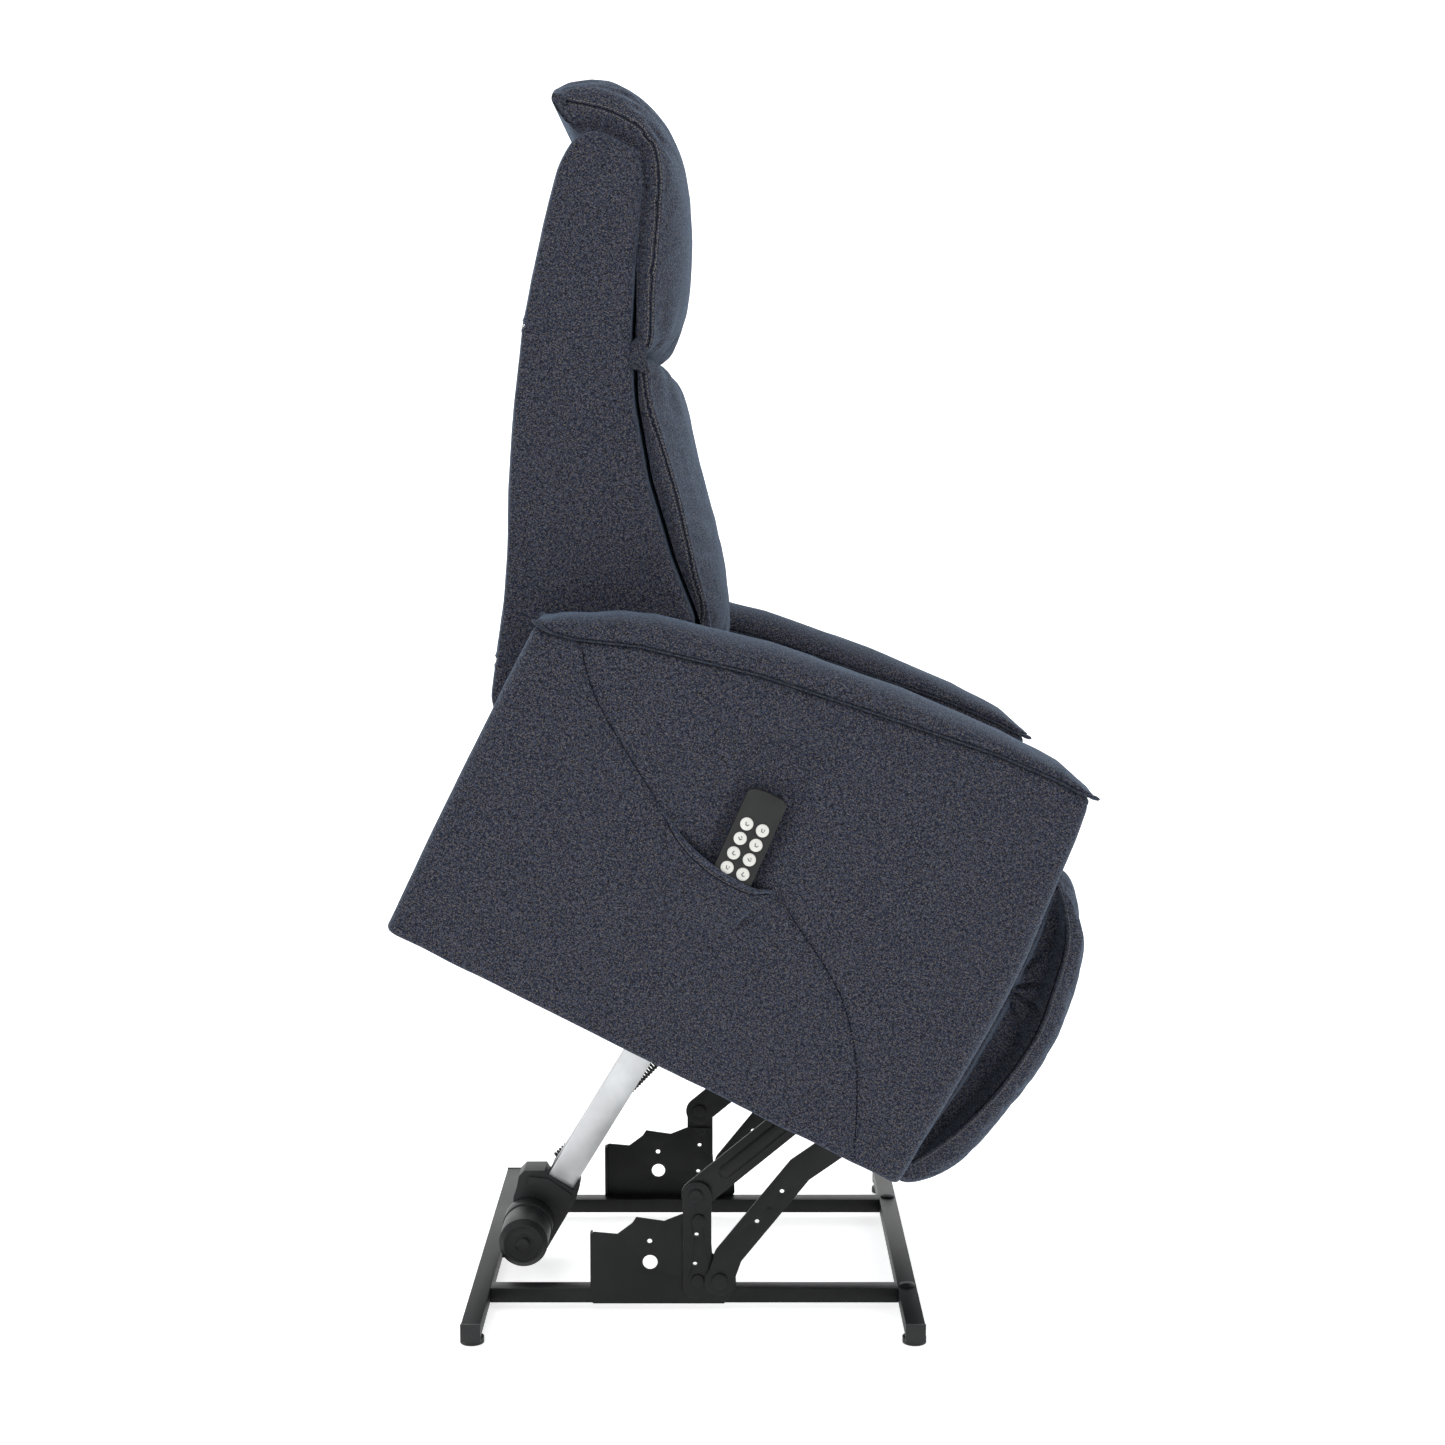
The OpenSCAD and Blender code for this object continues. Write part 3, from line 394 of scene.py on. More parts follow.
def hard(name, base, rough, grain, grain_scale=900.0, metallic=0.0, wear=None,
         wear_amount=0.6, brushed=False, spec=0.5):
    """Metal, plastic or thread with dulled patches, worn edges if wear is a
    colour, and a fine surface grain (its depth in metres)."""
    material, graph, shader = new_material(name)
    math_ = graph.math
    position = graph.node("ShaderNodeTexCoord").outputs["Object"]
    patches = graph.noise(position, scale=9.0, detail=4, rough=0.6)
    grain_position = graph.scaled(position, (1, 1, 14)) if brushed else position
    fine = graph.noise(grain_position, scale=grain_scale, detail=2, rough=0.6)
    dull = tuple(min(1, channel * 1.3 + 0.003) for channel in base)
    color = graph.mix(graph.mask(patches, low=0.42, high=0.66), base, dull)
    if wear:
        geometry = graph.node("ShaderNodeNewGeometry")
        bevel = graph.node("ShaderNodeBevel", {"Radius": 0.0016}, samples=4)
        inputs = {0: bevel.outputs[0], 1: geometry.outputs["Normal"]}
        dot = graph.node("ShaderNodeVectorMath", inputs, operation="DOT_PRODUCT")
        edge_gain = 9.0
        edge = math_("SUBTRACT", 1.0, dot.outputs["Value"])
        edge = math_("MULTIPLY", edge, edge_gain, clamp=True)
        chips = graph.noise(position, scale=70.0, detail=4, rough=0.7)
        edge = math_("MULTIPLY", edge, graph.mask(chips, low=0.42, high=0.62))
        color = graph.mix(math_("MULTIPLY", edge, wear_amount), color, wear)
    # roughness varies with the patches and the grain
    patch_spread, grain_spread = 0.14, 0.12
    roughness = math_("ADD", rough - 0.07, math_("MULTIPLY", patches, patch_spread))
    roughness = math_("ADD", roughness, math_(
        "MULTIPLY", math_("SUBTRACT", fine, 0.5), grain_spread), clamp=True)
    patch_height = 1.5
    height = math_("ADD", fine, math_("MULTIPLY", patches, patch_height))
    graph.feed_all(shader, {
        "Base Color": color,
        "Metallic": metallic,
        "Roughness": roughness,
        "Specular IOR Level": spec,
        "Normal": graph.bump(height, strength=0.35, distance=grain)})
    return material


def wood(name):
    material, graph, shader = new_material(name)
    position = graph.node("ShaderNodeTexCoord").outputs["Object"]
    grain = graph.noise(graph.scaled(position, (3, 3, 60)), scale=6.0, detail=5, rough=0.65)
    ring = graph.noise(graph.scaled(position, (1, 1, 9)), scale=10.0, detail=3, rough=0.6)
    grain_share, ring_share = 0.6, 0.4
    tone = graph.math("ADD", graph.math("MULTIPLY", grain, grain_share),
                      graph.math("MULTIPLY", ring, ring_share))
    lowest_rough, rough_spread = 0.5, 0.25
    rough = graph.math("ADD", lowest_rough, graph.math("MULTIPLY", grain, rough_spread))
    graph.feed_all(shader, {
        "Base Color": graph.ramp(tone, (0.3, (0.30, 0.17, 0.08)), (0.52, (0.50, 0.33, 0.18)),
                                 (0.72, (0.66, 0.48, 0.29))),
        "Roughness": rough,
        "Normal": graph.bump(tone, strength=0.3, distance=0.0006)})
    return material


NAVY = fabric("navy_fabric", dark=(0.0028, 0.0048, 0.0112), mid=(0.0128, 0.0175, 0.0345),
              light=(0.042, 0.050, 0.077), fleck=(0.150, 0.128, 0.108))
WELT = fabric("navy_welt", dark=(0.0050, 0.0070, 0.0140), mid=(0.0110, 0.0150, 0.0290),
              light=(0.036, 0.043, 0.062), fleck=(0.120, 0.105, 0.088), sheen=0.18)
THREAD = hard("seam_thread", base=(0.150, 0.140, 0.126), rough=0.75,
              grain=0.0002, grain_scale=1500, spec=0.25)
# near-black sheet laid as painted shadow in seam creases
PAINTED_SEAM_SHADOW = hard("seam_shadow", base=(0.0030, 0.0038, 0.0065), rough=0.95, grain=0.0002, spec=0.05)
# dark material laid as painted shade along pressed seam lines
PAINTED_CREASE_SHADE = hard("seam_crease", base=(0.0056, 0.0070, 0.0118), rough=0.95, grain=0.0002, spec=0.05)
# lighter copy of the navy fabric with more sheen: painted light on the rolled hem
LIT_HEM_FABRIC = fabric("navy_hem_painted_light", dark=(0.0045, 0.0075, 0.0160), mid=(0.0165, 0.0235, 0.0460),
             light=(0.052, 0.064, 0.098), fleck=(0.150, 0.130, 0.112), sheen=0.26)
# the lining's last colour is the grey tint of its painted sheen at glancing angles
LINING = fabric("black_lining", dark=(0.004, 0.004, 0.004), mid=(0.010, 0.010, 0.011),
                light=(0.022, 0.022, 0.023), fleck=(0.03, 0.03, 0.03), sheen=0.05,
                painted_sheen_tint=(0.03, 0.03, 0.03))
STEEL = hard("powder_coated_steel", base=(0.0038, 0.0041, 0.0045), rough=0.44,
             wear=(0.09, 0.09, 0.094), wear_amount=0.3, grain=0.00022, grain_scale=1100,
             spec=0.2)
ZINC = hard("zinc_steel", base=(0.50, 0.50, 0.51), rough=0.34, metallic=0.9,
            wear=(0.72, 0.72, 0.72), grain=0.0001, grain_scale=1200, brushed=True)
ALUMINIUM = hard("channel_aluminium", base=(0.53, 0.54, 0.55), rough=0.38, metallic=0.85,
                 wear=(0.8, 0.8, 0.8), grain=0.00012, brushed=True)
PLASTIC = hard("black_plastic", base=(0.0075, 0.0078, 0.0084), rough=0.50,
               wear=(0.035, 0.035, 0.037), wear_amount=0.5, grain=0.00035,
               grain_scale=1300, spec=0.32)
HANDSET = hard("handset_plastic", base=(0.0150, 0.0152, 0.0155), rough=0.42,
               wear=(0.06, 0.061, 0.062), wear_amount=0.5, grain=0.00012,
               grain_scale=2600, spec=0.24)
BUTTON = hard("button_plastic", base=(0.60, 0.595, 0.56), rough=0.40,
              wear=(0.50, 0.48, 0.43), wear_amount=0.35, grain=0.00006, grain_scale=2200)
MARK = hard("button_mark", base=(0.055, 0.055, 0.058), rough=0.5, grain=0.00004)
PLYWOOD = wood("plywood")
CAD_MATERIALS = {
    "powder_coated_steel": STEEL, "zinc_steel": ZINC, "channel_aluminium": ALUMINIUM,
    "black_plastic": PLASTIC, "handset_plastic": HANDSET, "button_plastic": BUTTON,
    "navy_fabric": NAVY, "plywood": PLYWOOD,
}


# ------------------------------------------------------------ mesh building
def shade_smooth(mesh):
    mesh.polygons.foreach_set("use_smooth", np.ones(len(mesh.polygons), bool))


def add_mesh(name, points, faces, materials, smooth_shade=True, slots=None):
    """A new object from world points in metres; slots is the material of each face."""
    mesh = bpy.data.meshes.new(name)
    mesh.from_pydata(np.asarray(points, float).tolist(), [], faces)
    mesh.validate()
    mesh.update()
    ob = bpy.data.objects.new(name, mesh)
    SCENE.collection.objects.link(ob)
    for material in materials:
        mesh.materials.append(material)
    if slots is not None:
        mesh.polygons.foreach_set("material_index", np.asarray(slots, np.int32))
    if smooth_shade:
        shade_smooth(mesh)
    return ob


def face_outward(ob, merge=None):
    """Turns all normals outward, after merging points closer than merge metres."""
    edit = bmesh.new()
    edit.from_mesh(ob.data)
    if merge:
        bmesh.ops.remove_doubles(edit, verts=edit.verts, dist=merge)
    bmesh.ops.recalc_face_normals(edit, faces=edit.faces)
    edit.to_mesh(ob.data)
    edit.free()
    if merge:
        shade_smooth(ob.data)
    return ob


def add_solid(name, points, faces, material, smooth_shade=True, merge=None):
    """A closed object from chair-frame points."""
    ob = add_mesh(name, to_world(points), faces, [material], smooth_shade)
    return face_outward(ob, merge)


def bridge(first, second, count, flip=False):
    """Quads between two closed rings, given by the index of their first points."""
    faces = []
    for i in range(count):
        here, there = i, (i + 1) % count
        if flip:
            here, there = there, here
        faces.append((first + here, first + there, second + there, second + here))
    return faces


def tube_faces(rings, count, base=0):
    """Faces of a tube of rings, closed at both ends."""
    faces = []
    for i in range(rings - 1):
        faces += bridge(base + i * count, base + (i + 1) * count, count)
    faces.append(tuple(base + count - 1 - j for j in range(count)))
    faces.append(tuple(base + (rings - 1) * count + j for j in range(count)))
    return faces


def sheet_faces(rows, columns):
    """Faces of two stacked grids of points joined round their rim."""
    faces = []
    layer = rows * columns
    for k in range(2):
        for i in range(rows - 1):
            for j in range(columns - 1):
                at = k * layer + i * columns + j
                face = (at, at + 1, at + columns + 1, at + columns)
                faces.append(face if k else face[::-1])
    for i in range(rows - 1):
        for j in (0, columns - 1):
            at = i * columns + j
            faces.append((at, at + columns, layer + at + columns, layer + at))
    for j in range(columns - 1):
        for i in (0, rows - 1):
            at = i * columns + j
            faces.append((at, at + 1, layer + at + 1, layer + at))
    return faces


def loft(name, levels, material, cap_steps):
    """Solid through levels of (y, (x, z) loop), closed with nested flat caps."""
    count = len(levels[0][1])
    points, faces = [], []

    def ring(y, loop):
        points.extend((x, y, z) for x, z in loop)
        return len(points) - count

    rings = [ring(y, loop) for y, loop in levels]
    for first, second in zip(rings[:-1], rings[1:]):
        faces += bridge(first, second, count)
    for end, flip in ((0, True), (-1, False)):
        y, loop = levels[end]
        centre = loop.mean(0)
        outer = rings[end]
        for k in range(1, cap_steps):
            inner = ring(y, centre + (loop - centre) * (1 - k / cap_steps))
            faces += bridge(outer, inner, count, flip)
            outer = inner
        tip = len(points)
        points.append((centre[0], y, centre[1]))
        faces += [(face[0], face[1], tip) for face in bridge(outer, outer, count, flip)]
    return add_solid(name, points, faces, material)


def sweep(name, curve, normals, section, material, scale=None):
    """Sweeps a section of (across, outward) points along a chair-frame curve."""
    along = tangents(curve)
    normals = unit(normals - along * np.sum(normals * along, 1)[:, None])
    sideways = np.cross(along, normals)
    if scale is None:
        scale = np.ones((len(curve), 1))
    sections = section[None] * scale[:, :, None]
    points = (curve[:, None] + sections[..., :1] * sideways[:, None]
              + sections[..., 1:] * normals[:, None])
    return add_solid(name, points, tube_faces(len(curve), len(section)), material)


STITCH_RINGS = [  # along (share of length), radius share, rise (share of radius)
    (-0.5, 0.25, -0.5), (-0.34, 0.9, 0.15), (0, 1.0, 0.55), (0.34, 0.9, 0.15), (0.5, 0.25, -0.5),
]


def stitches(name, curve, normals, pitch=4.4, dash=3.0, radius=0.42):
    """A row of short thread stitches along a curve on a surface."""
    lift = 0.15
    reach = 1.2  # half the span over which the direction is taken
    sides = 6
    lengths = arc_lengths(curve)
    points, faces = [], []
    for i in range(int(lengths[-1] / pitch)):
        at = (i + 0.5) * pitch
        centre = sample(curve, lengths, at)
        ahead = sample(curve, lengths, min(at + reach, lengths[-1]))
        behind = sample(curve, lengths, max(at - reach, 0))
        along = unit((ahead - behind)[None])[0]
        outward = sample(normals, lengths, at)
        outward = unit((outward - along * (outward @ along))[None])[0]
        sideways = np.cross(along, outward)
        faces += tube_faces(len(STITCH_RINGS), sides, base=len(points))
        for shift, width, rise in STITCH_RINGS:
            for k in range(sides):
                angle = k * math.pi / 3
                height = lift + radius * width * math.sin(angle) + rise * radius
                points.append(centre + along * shift * dash
                              + sideways * radius * width * math.cos(angle) + outward * height)
    return add_mesh(name, to_world(points), faces, [THREAD])


def attach(ob, body, replaces=()):
    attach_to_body(ob, body)
    if replaces:
        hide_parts(*replaces)
    return ob


# ------------------------------------------------------------ mesh reshaping
def world_points(mesh):
    flat = np.empty(len(mesh.vertices) * 3)
    mesh.vertices.foreach_get("co", flat)
    return flat.reshape(-1, 3)


def set_world_points(mesh, points):
    mesh.vertices.foreach_set("co", np.asarray(points, np.float32).ravel())
    mesh.update()


def chair_points(ob):
    return to_chair(world_points(ob.data))


def chair_normals(ob):
    flat = np.empty(len(ob.data.vertices) * 3)
    ob.data.vertices.foreach_get("normal", flat)
    return to_chair_axes(flat)


def reshape(ob, detail):
    """Moves an object's points to detail(points, normals), in the chair frame."""
    shaped = detail(chair_points(ob), chair_normals(ob))
    set_world_points(ob.data, to_world(shaped))


def apply_modifiers(ob):
    graph = bpy.context.evaluated_depsgraph_get()
    evaluated = ob.evaluated_get(graph)
    mesh = bpy.data.meshes.new_from_object(
        evaluated, preserve_all_data_layers=True, depsgraph=graph)
    old = ob.data
    ob.modifiers.clear()
    ob.data = mesh
    mesh.name = old.name
    bpy.data.meshes.remove(old)


def remesh(ob, voxel):
    modifier = ob.modifiers.new("remesh", "REMESH")
    modifier.mode = "VOXEL"
    modifier.voxel_size = voxel / 1000
    modifier.use_smooth_shade = True
    apply_modifiers(ob)


def subdivide(ob):
    modifier = ob.modifiers.new("sub", "SUBSURF")
    modifier.levels = modifier.render_levels = 1
    apply_modifiers(ob)
    shade_smooth(ob.data)


def relax(ob, times, strength):
    """Moves every point towards the average of its neighbours."""
    mesh = ob.data
    edges = np.empty(len(mesh.edges) * 2, np.int64)
    mesh.edges.foreach_get("vertices", edges)
    first, second = edges.reshape(-1, 2).T
    count = len(mesh.vertices)
    neighbours = np.maximum(np.bincount(edges, minlength=count).astype(float), 1)
    points = world_points(mesh)
    for _ in range(times):
        total = np.stack([np.bincount(first, column[second], count)
                          + np.bincount(second, column[first], count)
                          for column in points.T], 1)
        points = points + strength * (total / neighbours[:, None] - points)
    set_world_points(mesh, points)


def puff(ob, limit, pressure, pin):
    """Blows the cloth up by pressure, moving no point more than limit mm.
    pin, 0..1 per point, holds points back."""
    frames = 20
    stiffness = 9
    start = world_points(ob.data)
    group = ob.vertex_groups.new(name="pin")
    rounded = np.round(pin, 1)
    for weight in np.unique(rounded[pin > 0.02]):
        chosen = np.where((rounded == weight) & (pin > 0.02))[0]
        group.add([int(i) for i in chosen], float(max(weight, 0.05)), "REPLACE")
    modifier = ob.modifiers.new("cloth", "CLOTH")
    cloth = modifier.settings
    cloth.quality = 5
    cloth.mass = 0.3
    cloth.tension_stiffness = cloth.compression_stiffness = stiffness
    cloth.shear_stiffness = stiffness * 0.5
    cloth.bending_stiffness = 0.6
    cloth.tension_damping = cloth.compression_damping = cloth.shear_damping = 8
    cloth.air_damping = 2
    cloth.use_pressure = True
    cloth.uniform_pressure_force = pressure
    cloth.shrink_min = -0.02
    cloth.effector_weights.gravity = 0
    cloth.vertex_group_mass = "pin"
    cloth.pin_stiffness = 2
    modifier.collision_settings.use_collision = False
    modifier.collision_settings.use_self_collision = False
    modifier.point_cache.frame_start = SCENE.frame_start = 1
    modifier.point_cache.frame_end = SCENE.frame_end = frames + 2
    for frame in range(1, frames + 1):
        SCENE.frame_set(frame)
    end = world_points(ob.evaluated_get(bpy.context.evaluated_depsgraph_get()).data)
    ob.modifiers.clear()
    ob.vertex_groups.clear()
    SCENE.frame_set(1)
    if not np.isfinite(end).all():  # an unstable simulation leaves the shape as it was
        return
    move = end - start
    distance = np.linalg.norm(move, axis=1)
    limit = limit / 1000
    # ease into the limit rather than clipping at it
    kept = np.where(distance > 1e-9,
                    limit * np.tanh(distance / limit) / np.maximum(distance, 1e-9), 1)
    move = move * kept[:, None] * (1 - pin)[:, None]
    set_world_points(ob.data, start + move)


def tree_of(ob):
    polygons = [tuple(face.vertices) for face in ob.data.polygons]
    return BVHTree.FromPolygons([Vector(point) for point in world_points(ob.data)], polygons)


def nearest(curve, tree):
    """Nearest surface points to a curve and their normals, chair frame."""
    hits = [tree.find_nearest(Vector(point)) for point in to_world(curve)]
    return to_chair([hit[0] for hit in hits]), to_chair_axes([hit[1] for hit in hits])


def project_left(curve, tree):
    """Casts a curve towards +y onto a surface; a miss takes the nearest point."""
    hits = []
    for point, start in zip(to_world(curve), to_world(curve - np.array([0, 120.0, 0]))):
        hit = tree.ray_cast(Vector(start), Vector((0, 1, 0)))
        if hit[0] is None:
            hit = tree.find_nearest(Vector(point))
        hits.append(hit)
    return to_chair([hit[0] for hit in hits]), to_chair_axes([hit[1] for hit in hits])


def groove(ob, curve, depth, width, lip):
    """Presses a seam line with raised lips into a mesh along its normals."""
    curve, _ = nearest(curve, tree_of(ob))

    def press(points, normals):
        reach = 4 * width
        low, high = curve.min(0) - reach, curve.max(0) + reach
        close = np.where(np.all((points > low) & (points < high), axis=1))[0]
        distance, _ = to_curve(points[close], curve)
        push = -depth * bell(distance, width) + lip * bell(distance - 2.2 * width, width)
        points[close] += normals[close] * push[:, None]
        return points

    reshape(ob, press)


def settle(curve, normals, curve_passes, normal_passes):
    return soften(curve, curve_passes), unit(soften(normals, normal_passes))


def fine_seam(name, ob, curve, body, offsets=(3.4, -3.4), line=True):
    """A dark line of painted crease shade along a seam on a finished mesh, with a row of stitches
    at each offset.
    """
    tree = tree_of(ob)
    curve, normals = settle(*nearest(curve, tree), 2, 8)
    if line:
        seam = sweep(name + "_line", curve - normals * 0.1, normals, oval(0.6, 8, 1.4), PAINTED_CREASE_SHADE)
        attach(seam, body)
    sideways = np.cross(tangents(curve), normals)
    for k, offset in enumerate(offsets):
        row, row_normals = nearest(curve + sideways * offset + normals, tree)
        attach(stitches(f"{name}_stitches_{k}", soften(row, 2), soften(row_normals, 6)), body)


# ------------------------------------------------------------ arms
# Both arms are shaped with y positive; the right one is mirrored at the end.
ARM_Y, ARM_HALF_WIDTH = 315.0, 70.0
ARM_HALF_LENGTH, ARM_CORNER = 357.0, 19.0
ARM_BOTTOM = 55
WELT_REAR, WELT_FRONT = -346, 357
TOP_SEAM = np.array([  # x, z of the seam round the top panel
    (-351, 470), (-335, 468), (-296, 476), (-222, 504), (-76, 539),
    (101.6, 566), (230, 584), (310.5, 589), (349, 587), (360, 587)], float)
CROWN = np.array([  # x, height of the top panel above its seam
    (-352, 10), (-331, 26), (-263, 40), (-166, 40), (-41, 38),
    (89.7, 35), (225, 26), (310, 18), (349, 11), (360, 9)], float)
# fullness of the arm's front edge, at even steps up its height
FRONT_FULLNESS = [-3.5, 0.5, 6.5, 11.0, 15.0, 18.0, 18.5, 16.0, 14.0, 12.5, 8.0]
UNDERSIDE = [  # inset, z: rolled edge, then the lining recess
    (30, 61), (18, 60.5), (12, 60), (9, 57), (6.5, 55.4), (3, 55.2), (1.0, 57.5)]
SEAM_TUCK = [  # rise above the seam, inset: the side panel tucks under the top panel
    (-9, 0.0), (-6, 0.2), (-3.6, 0.9), (-1.8, 2.4), (-0.6, 4.4),
    (0.4, 4.6), (1.2, 2.6), (2.6, 0.7), (4.6, -0.3), (7.0, -0.2)]

# The handset in the pouch on the right arm: centre (x, z) and axes
HANDSET_X, HANDSET_Z = 3.4, 342.0
HANDSET_COS, HANDSET_SIN = math.cos(math.radians(3)), math.sin(math.radians(3))
HANDSET_HALF = 75
# The S seam across the outer side of the right arm, (x, z): upper part, pouch mouth, lower part
SEAM_UPPER = np.array([(-291, 478), (-254, 435), (-228, 414), (-174, 379), (-110, 340)], float)
MOUTH = np.array([
    (-110, 340), (-88, 326), (-60, 314), (-32, 307), (-14, 304),
    (8, 302), (38, 302.5), (56, 308), (70, 306)], float)
SEAM_LOWER = np.array([
    (70, 306), (96, 291), (193, 231), (245, 171), (266, 135), (303, 56)], float)
S_SEAM = spline(np.vstack([SEAM_UPPER[:-1], MOUTH[:-1], SEAM_LOWER]), 260)
ARM_DRAGS = [  # start, end (x, z), depth, width: folds from the ends of the pouch and seam
    ((-112, 342), (-205, 250), 1.8, 17), ((-100, 330), (-120, 210), 1.4, 15),
    ((66, 306), (120, 190), 1.5, 15), ((74, 312), (190, 330), 1.1, 16),
    ((300, 60), (230, 250), 1.4, 22)]


def seam_z(x):
    return np.interp(x, TOP_SEAM[:, 0], TOP_SEAM[:, 1])


def handset_axes(x, z):
    """Position across and along the handset."""
    dx, dz = x - HANDSET_X, z - HANDSET_Z
    return dx * HANDSET_COS + dz * HANDSET_SIN, -dx * HANDSET_SIN + dz * HANDSET_COS


def box_distance(across_box, along_box, half_width, half_length):
    return np.hypot(np.maximum(np.abs(across_box) - half_width, 0),
                    np.maximum(np.abs(along_box) - half_length, 0))


def handset_room(x, z):
    """1 behind the handset and along the way it comes out, else 0."""
    sideways, along = handset_axes(x, z)
    travel = 32
    return 1 - smooth(2, 22, box_distance(sideways, along - 30, 26.5, HANDSET_HALF + travel))


def mouth_sink(x, z):
    """How far the arm cloth sinks behind the mouth of the pouch."""
    distance, along = to_curve(np.stack([x, z], 1), spline(MOUTH, 80))
    return bell(distance, 15) * 7.6 * np.sin(np.pi * np.clip(along, 0, 1)) ** 0.6


def corner(side_x, side_y, first, steps, count):
    """Rounded corner of the arm's plan, turning clockwise from first degrees."""
    turns = [math.radians(first - 90 * i / steps) for i in range(count)]
    return [(side_x * (ARM_HALF_LENGTH - ARM_CORNER) + ARM_CORNER * math.cos(turn),
             side_y * (ARM_HALF_WIDTH - ARM_CORNER) + ARM_CORNER * math.sin(turn))
            for turn in turns]


def arm_plan(outer_spacing):
    """The arm's plan as a loop, clockwise from its outer rear corner."""
    def line(x1, y1, x2, y2, spacing):
        count = max(2, int(round(math.hypot(x2 - x1, y2 - y1) / spacing)))
        return [(x1 + (x2 - x1) * i / count, y1 + (y2 - y1) * i / count)
                for i in range(count)]

    long, wide = ARM_HALF_LENGTH, ARM_HALF_WIDTH
    straight, flat = long - ARM_CORNER, wide - ARM_CORNER
    return np.array(
        line(-straight, wide, straight, wide, outer_spacing) + corner(1, 1, 90, 7, 7)
        + line(long, flat, long, -flat, 8) + corner(1, -1, 0, 7, 7)
        + line(straight, -wide, -straight, -wide, 9) + corner(-1, -1, -90, 7, 7)
        + line(-long, -flat, -long, flat, 8) + corner(-1, 1, -180, 7, 7))


def arm_rings(plan, spacing):
    """Rings of points from the underside up to the ridge of the top panel."""
    inward = unit(inset(plan, 1.0) - plan)
    rings = []

    def ring(loop, share, height):
        """share is 0 at the bottom, 1 at the seam; height gives z from x."""
        rear = -345 - 3 * share
        fullness = np.interp(share, np.linspace(0, 1, 11), FRONT_FULLNESS)
        front = 374 - 25 * share + fullness
        x = (rear + front) / 2 + loop[:, 0] / ARM_HALF_LENGTH * ((front - rear) / 2)
        rings.append(np.stack([x, loop[:, 1] + ARM_Y, height(x)], 1))

    for depth, z in UNDERSIDE:
        ring(plan + inward * depth, 0.0, lambda x: np.full(len(x), float(z)))
    for share in np.linspace(0.012, 0.972, int(round(500 / spacing))):
        ring(plan, share, lambda x: ARM_BOTTOM + (seam_z(x) - ARM_BOTTOM) * share)
    for rise, depth in SEAM_TUCK:
        ring(plan + inward * depth, 1.0, lambda x: seam_z(x) + rise)
    for k in range(1, 19):
        angle = math.radians(90 * k / 18)
        depth = ARM_HALF_WIDTH * (1 - math.cos(angle) ** 0.86)
        loop = np.stack([
            plan[:, 0] * (ARM_HALF_LENGTH - depth * 0.93) / ARM_HALF_LENGTH,
            plan[:, 1] * max(1 - depth / ARM_HALF_WIDTH, 0.0)], 1)
        ring(loop, 1.0, lambda x: seam_z(x) + SEAM_TUCK[-1][0] * (1 - math.sin(angle))
             + np.interp(x, CROWN[:, 0], CROWN[:, 1]) * math.sin(angle))
    return rings


def shape_right_arm(points, outer):
    """Handset hollow, pouch mouth and S seam on the outer side panel."""
    x, y, z = points.T  # views: each step works on what the last one left
    room = handset_room(x, z)
    hollow_y = 379.6
    y[:] = np.where(outer, y * (1 - room) + np.minimum(y, hollow_y) * room, y)
    y -= outer * mouth_sink(x, z) * (1 - room)
    # a pressed seam line with the lower panel a touch proud of it
    flat = np.stack([x, z], 1)
    distance, _ = to_curve(flat, S_SEAM)
    below = 1 / (1 + np.exp((z - np.interp(x, S_SEAM[:, 0], S_SEAM[:, 1])) / 1.5))
    y += outer * (-3.3 * bell(distance, 2.5) + 2.1 * below * bell(distance, 15)
                  + 0.5 * bell(distance - 8, 5))
    puckers = np.sin((x - z) / 6.0 + 2 * lattice(points, 35, 31))
    y += outer * (np.exp(-distance / 22) * 0.35 * puckers)
    for start, end, depth, width in ARM_DRAGS:
        y -= outer * drag(flat, start, end, depth, width, fade=0.7)


def shape_arm(points, left):
    """Panel fullness, slow waves, puckers and a sagging hem."""
    x, y, z = points.T  # views: each step works on what the last one left
    seam = seam_z(x)
    up = np.clip((z - ARM_BOTTOM) / np.maximum(seam - ARM_BOTTOM, 1), 0, 1)
    along = np.clip((x + 340) / 714, 0, 1)
    below_seam = z < seam + 1
    edge, face = ARM_HALF_WIDTH - 26, ARM_HALF_WIDTH - 2
    outer = smooth(edge, face, y - ARM_Y) * below_seam
    inner = smooth(edge, face, ARM_Y - y) * below_seam
    full = (np.sin(np.pi * along) ** 0.5) * (np.sin(np.pi * up) ** 0.5)
    wave = waves(points, (120, 3 if left else 5, 1.5), (55, 9, 0.7), (21, 12, 0.22))
    body = smooth(57, 90, z) * smooth(0, 40, seam - z)
    y += outer * (3.2 * full + wave * body) - inner * full
    ends = (1 - outer) * (1 - inner) * below_seam * body
    x += ends * np.sign(x - 15) * (2.5 * np.sin(np.pi * up) + wave * 0.6)
    # puckers under the top seam
    puckers = 0.55 * np.sin(x / 5.1 + 2.2 * lattice(points, 40, 4))
    near_seam = np.exp(-np.maximum(seam - z, 0) / 16.0) * (z < seam - 1)
    y += outer * near_seam * puckers * (0.6 + 0.4 * lattice(points, 60, 8))
    # the top panel is uneven
    z += (z > seam + 6) * waves(points, (70, 15, 1.6), (26, 17, 0.5))
    # the bottom hem sags a little and wanders
    hem = z < 62
    z -= 6.0 * (1 - smooth(60, 190, z))
    z += hem * lattice(points * [1, 1, 0], 45, 21)
    if not left:
        shape_right_arm(points, outer > 0.9)


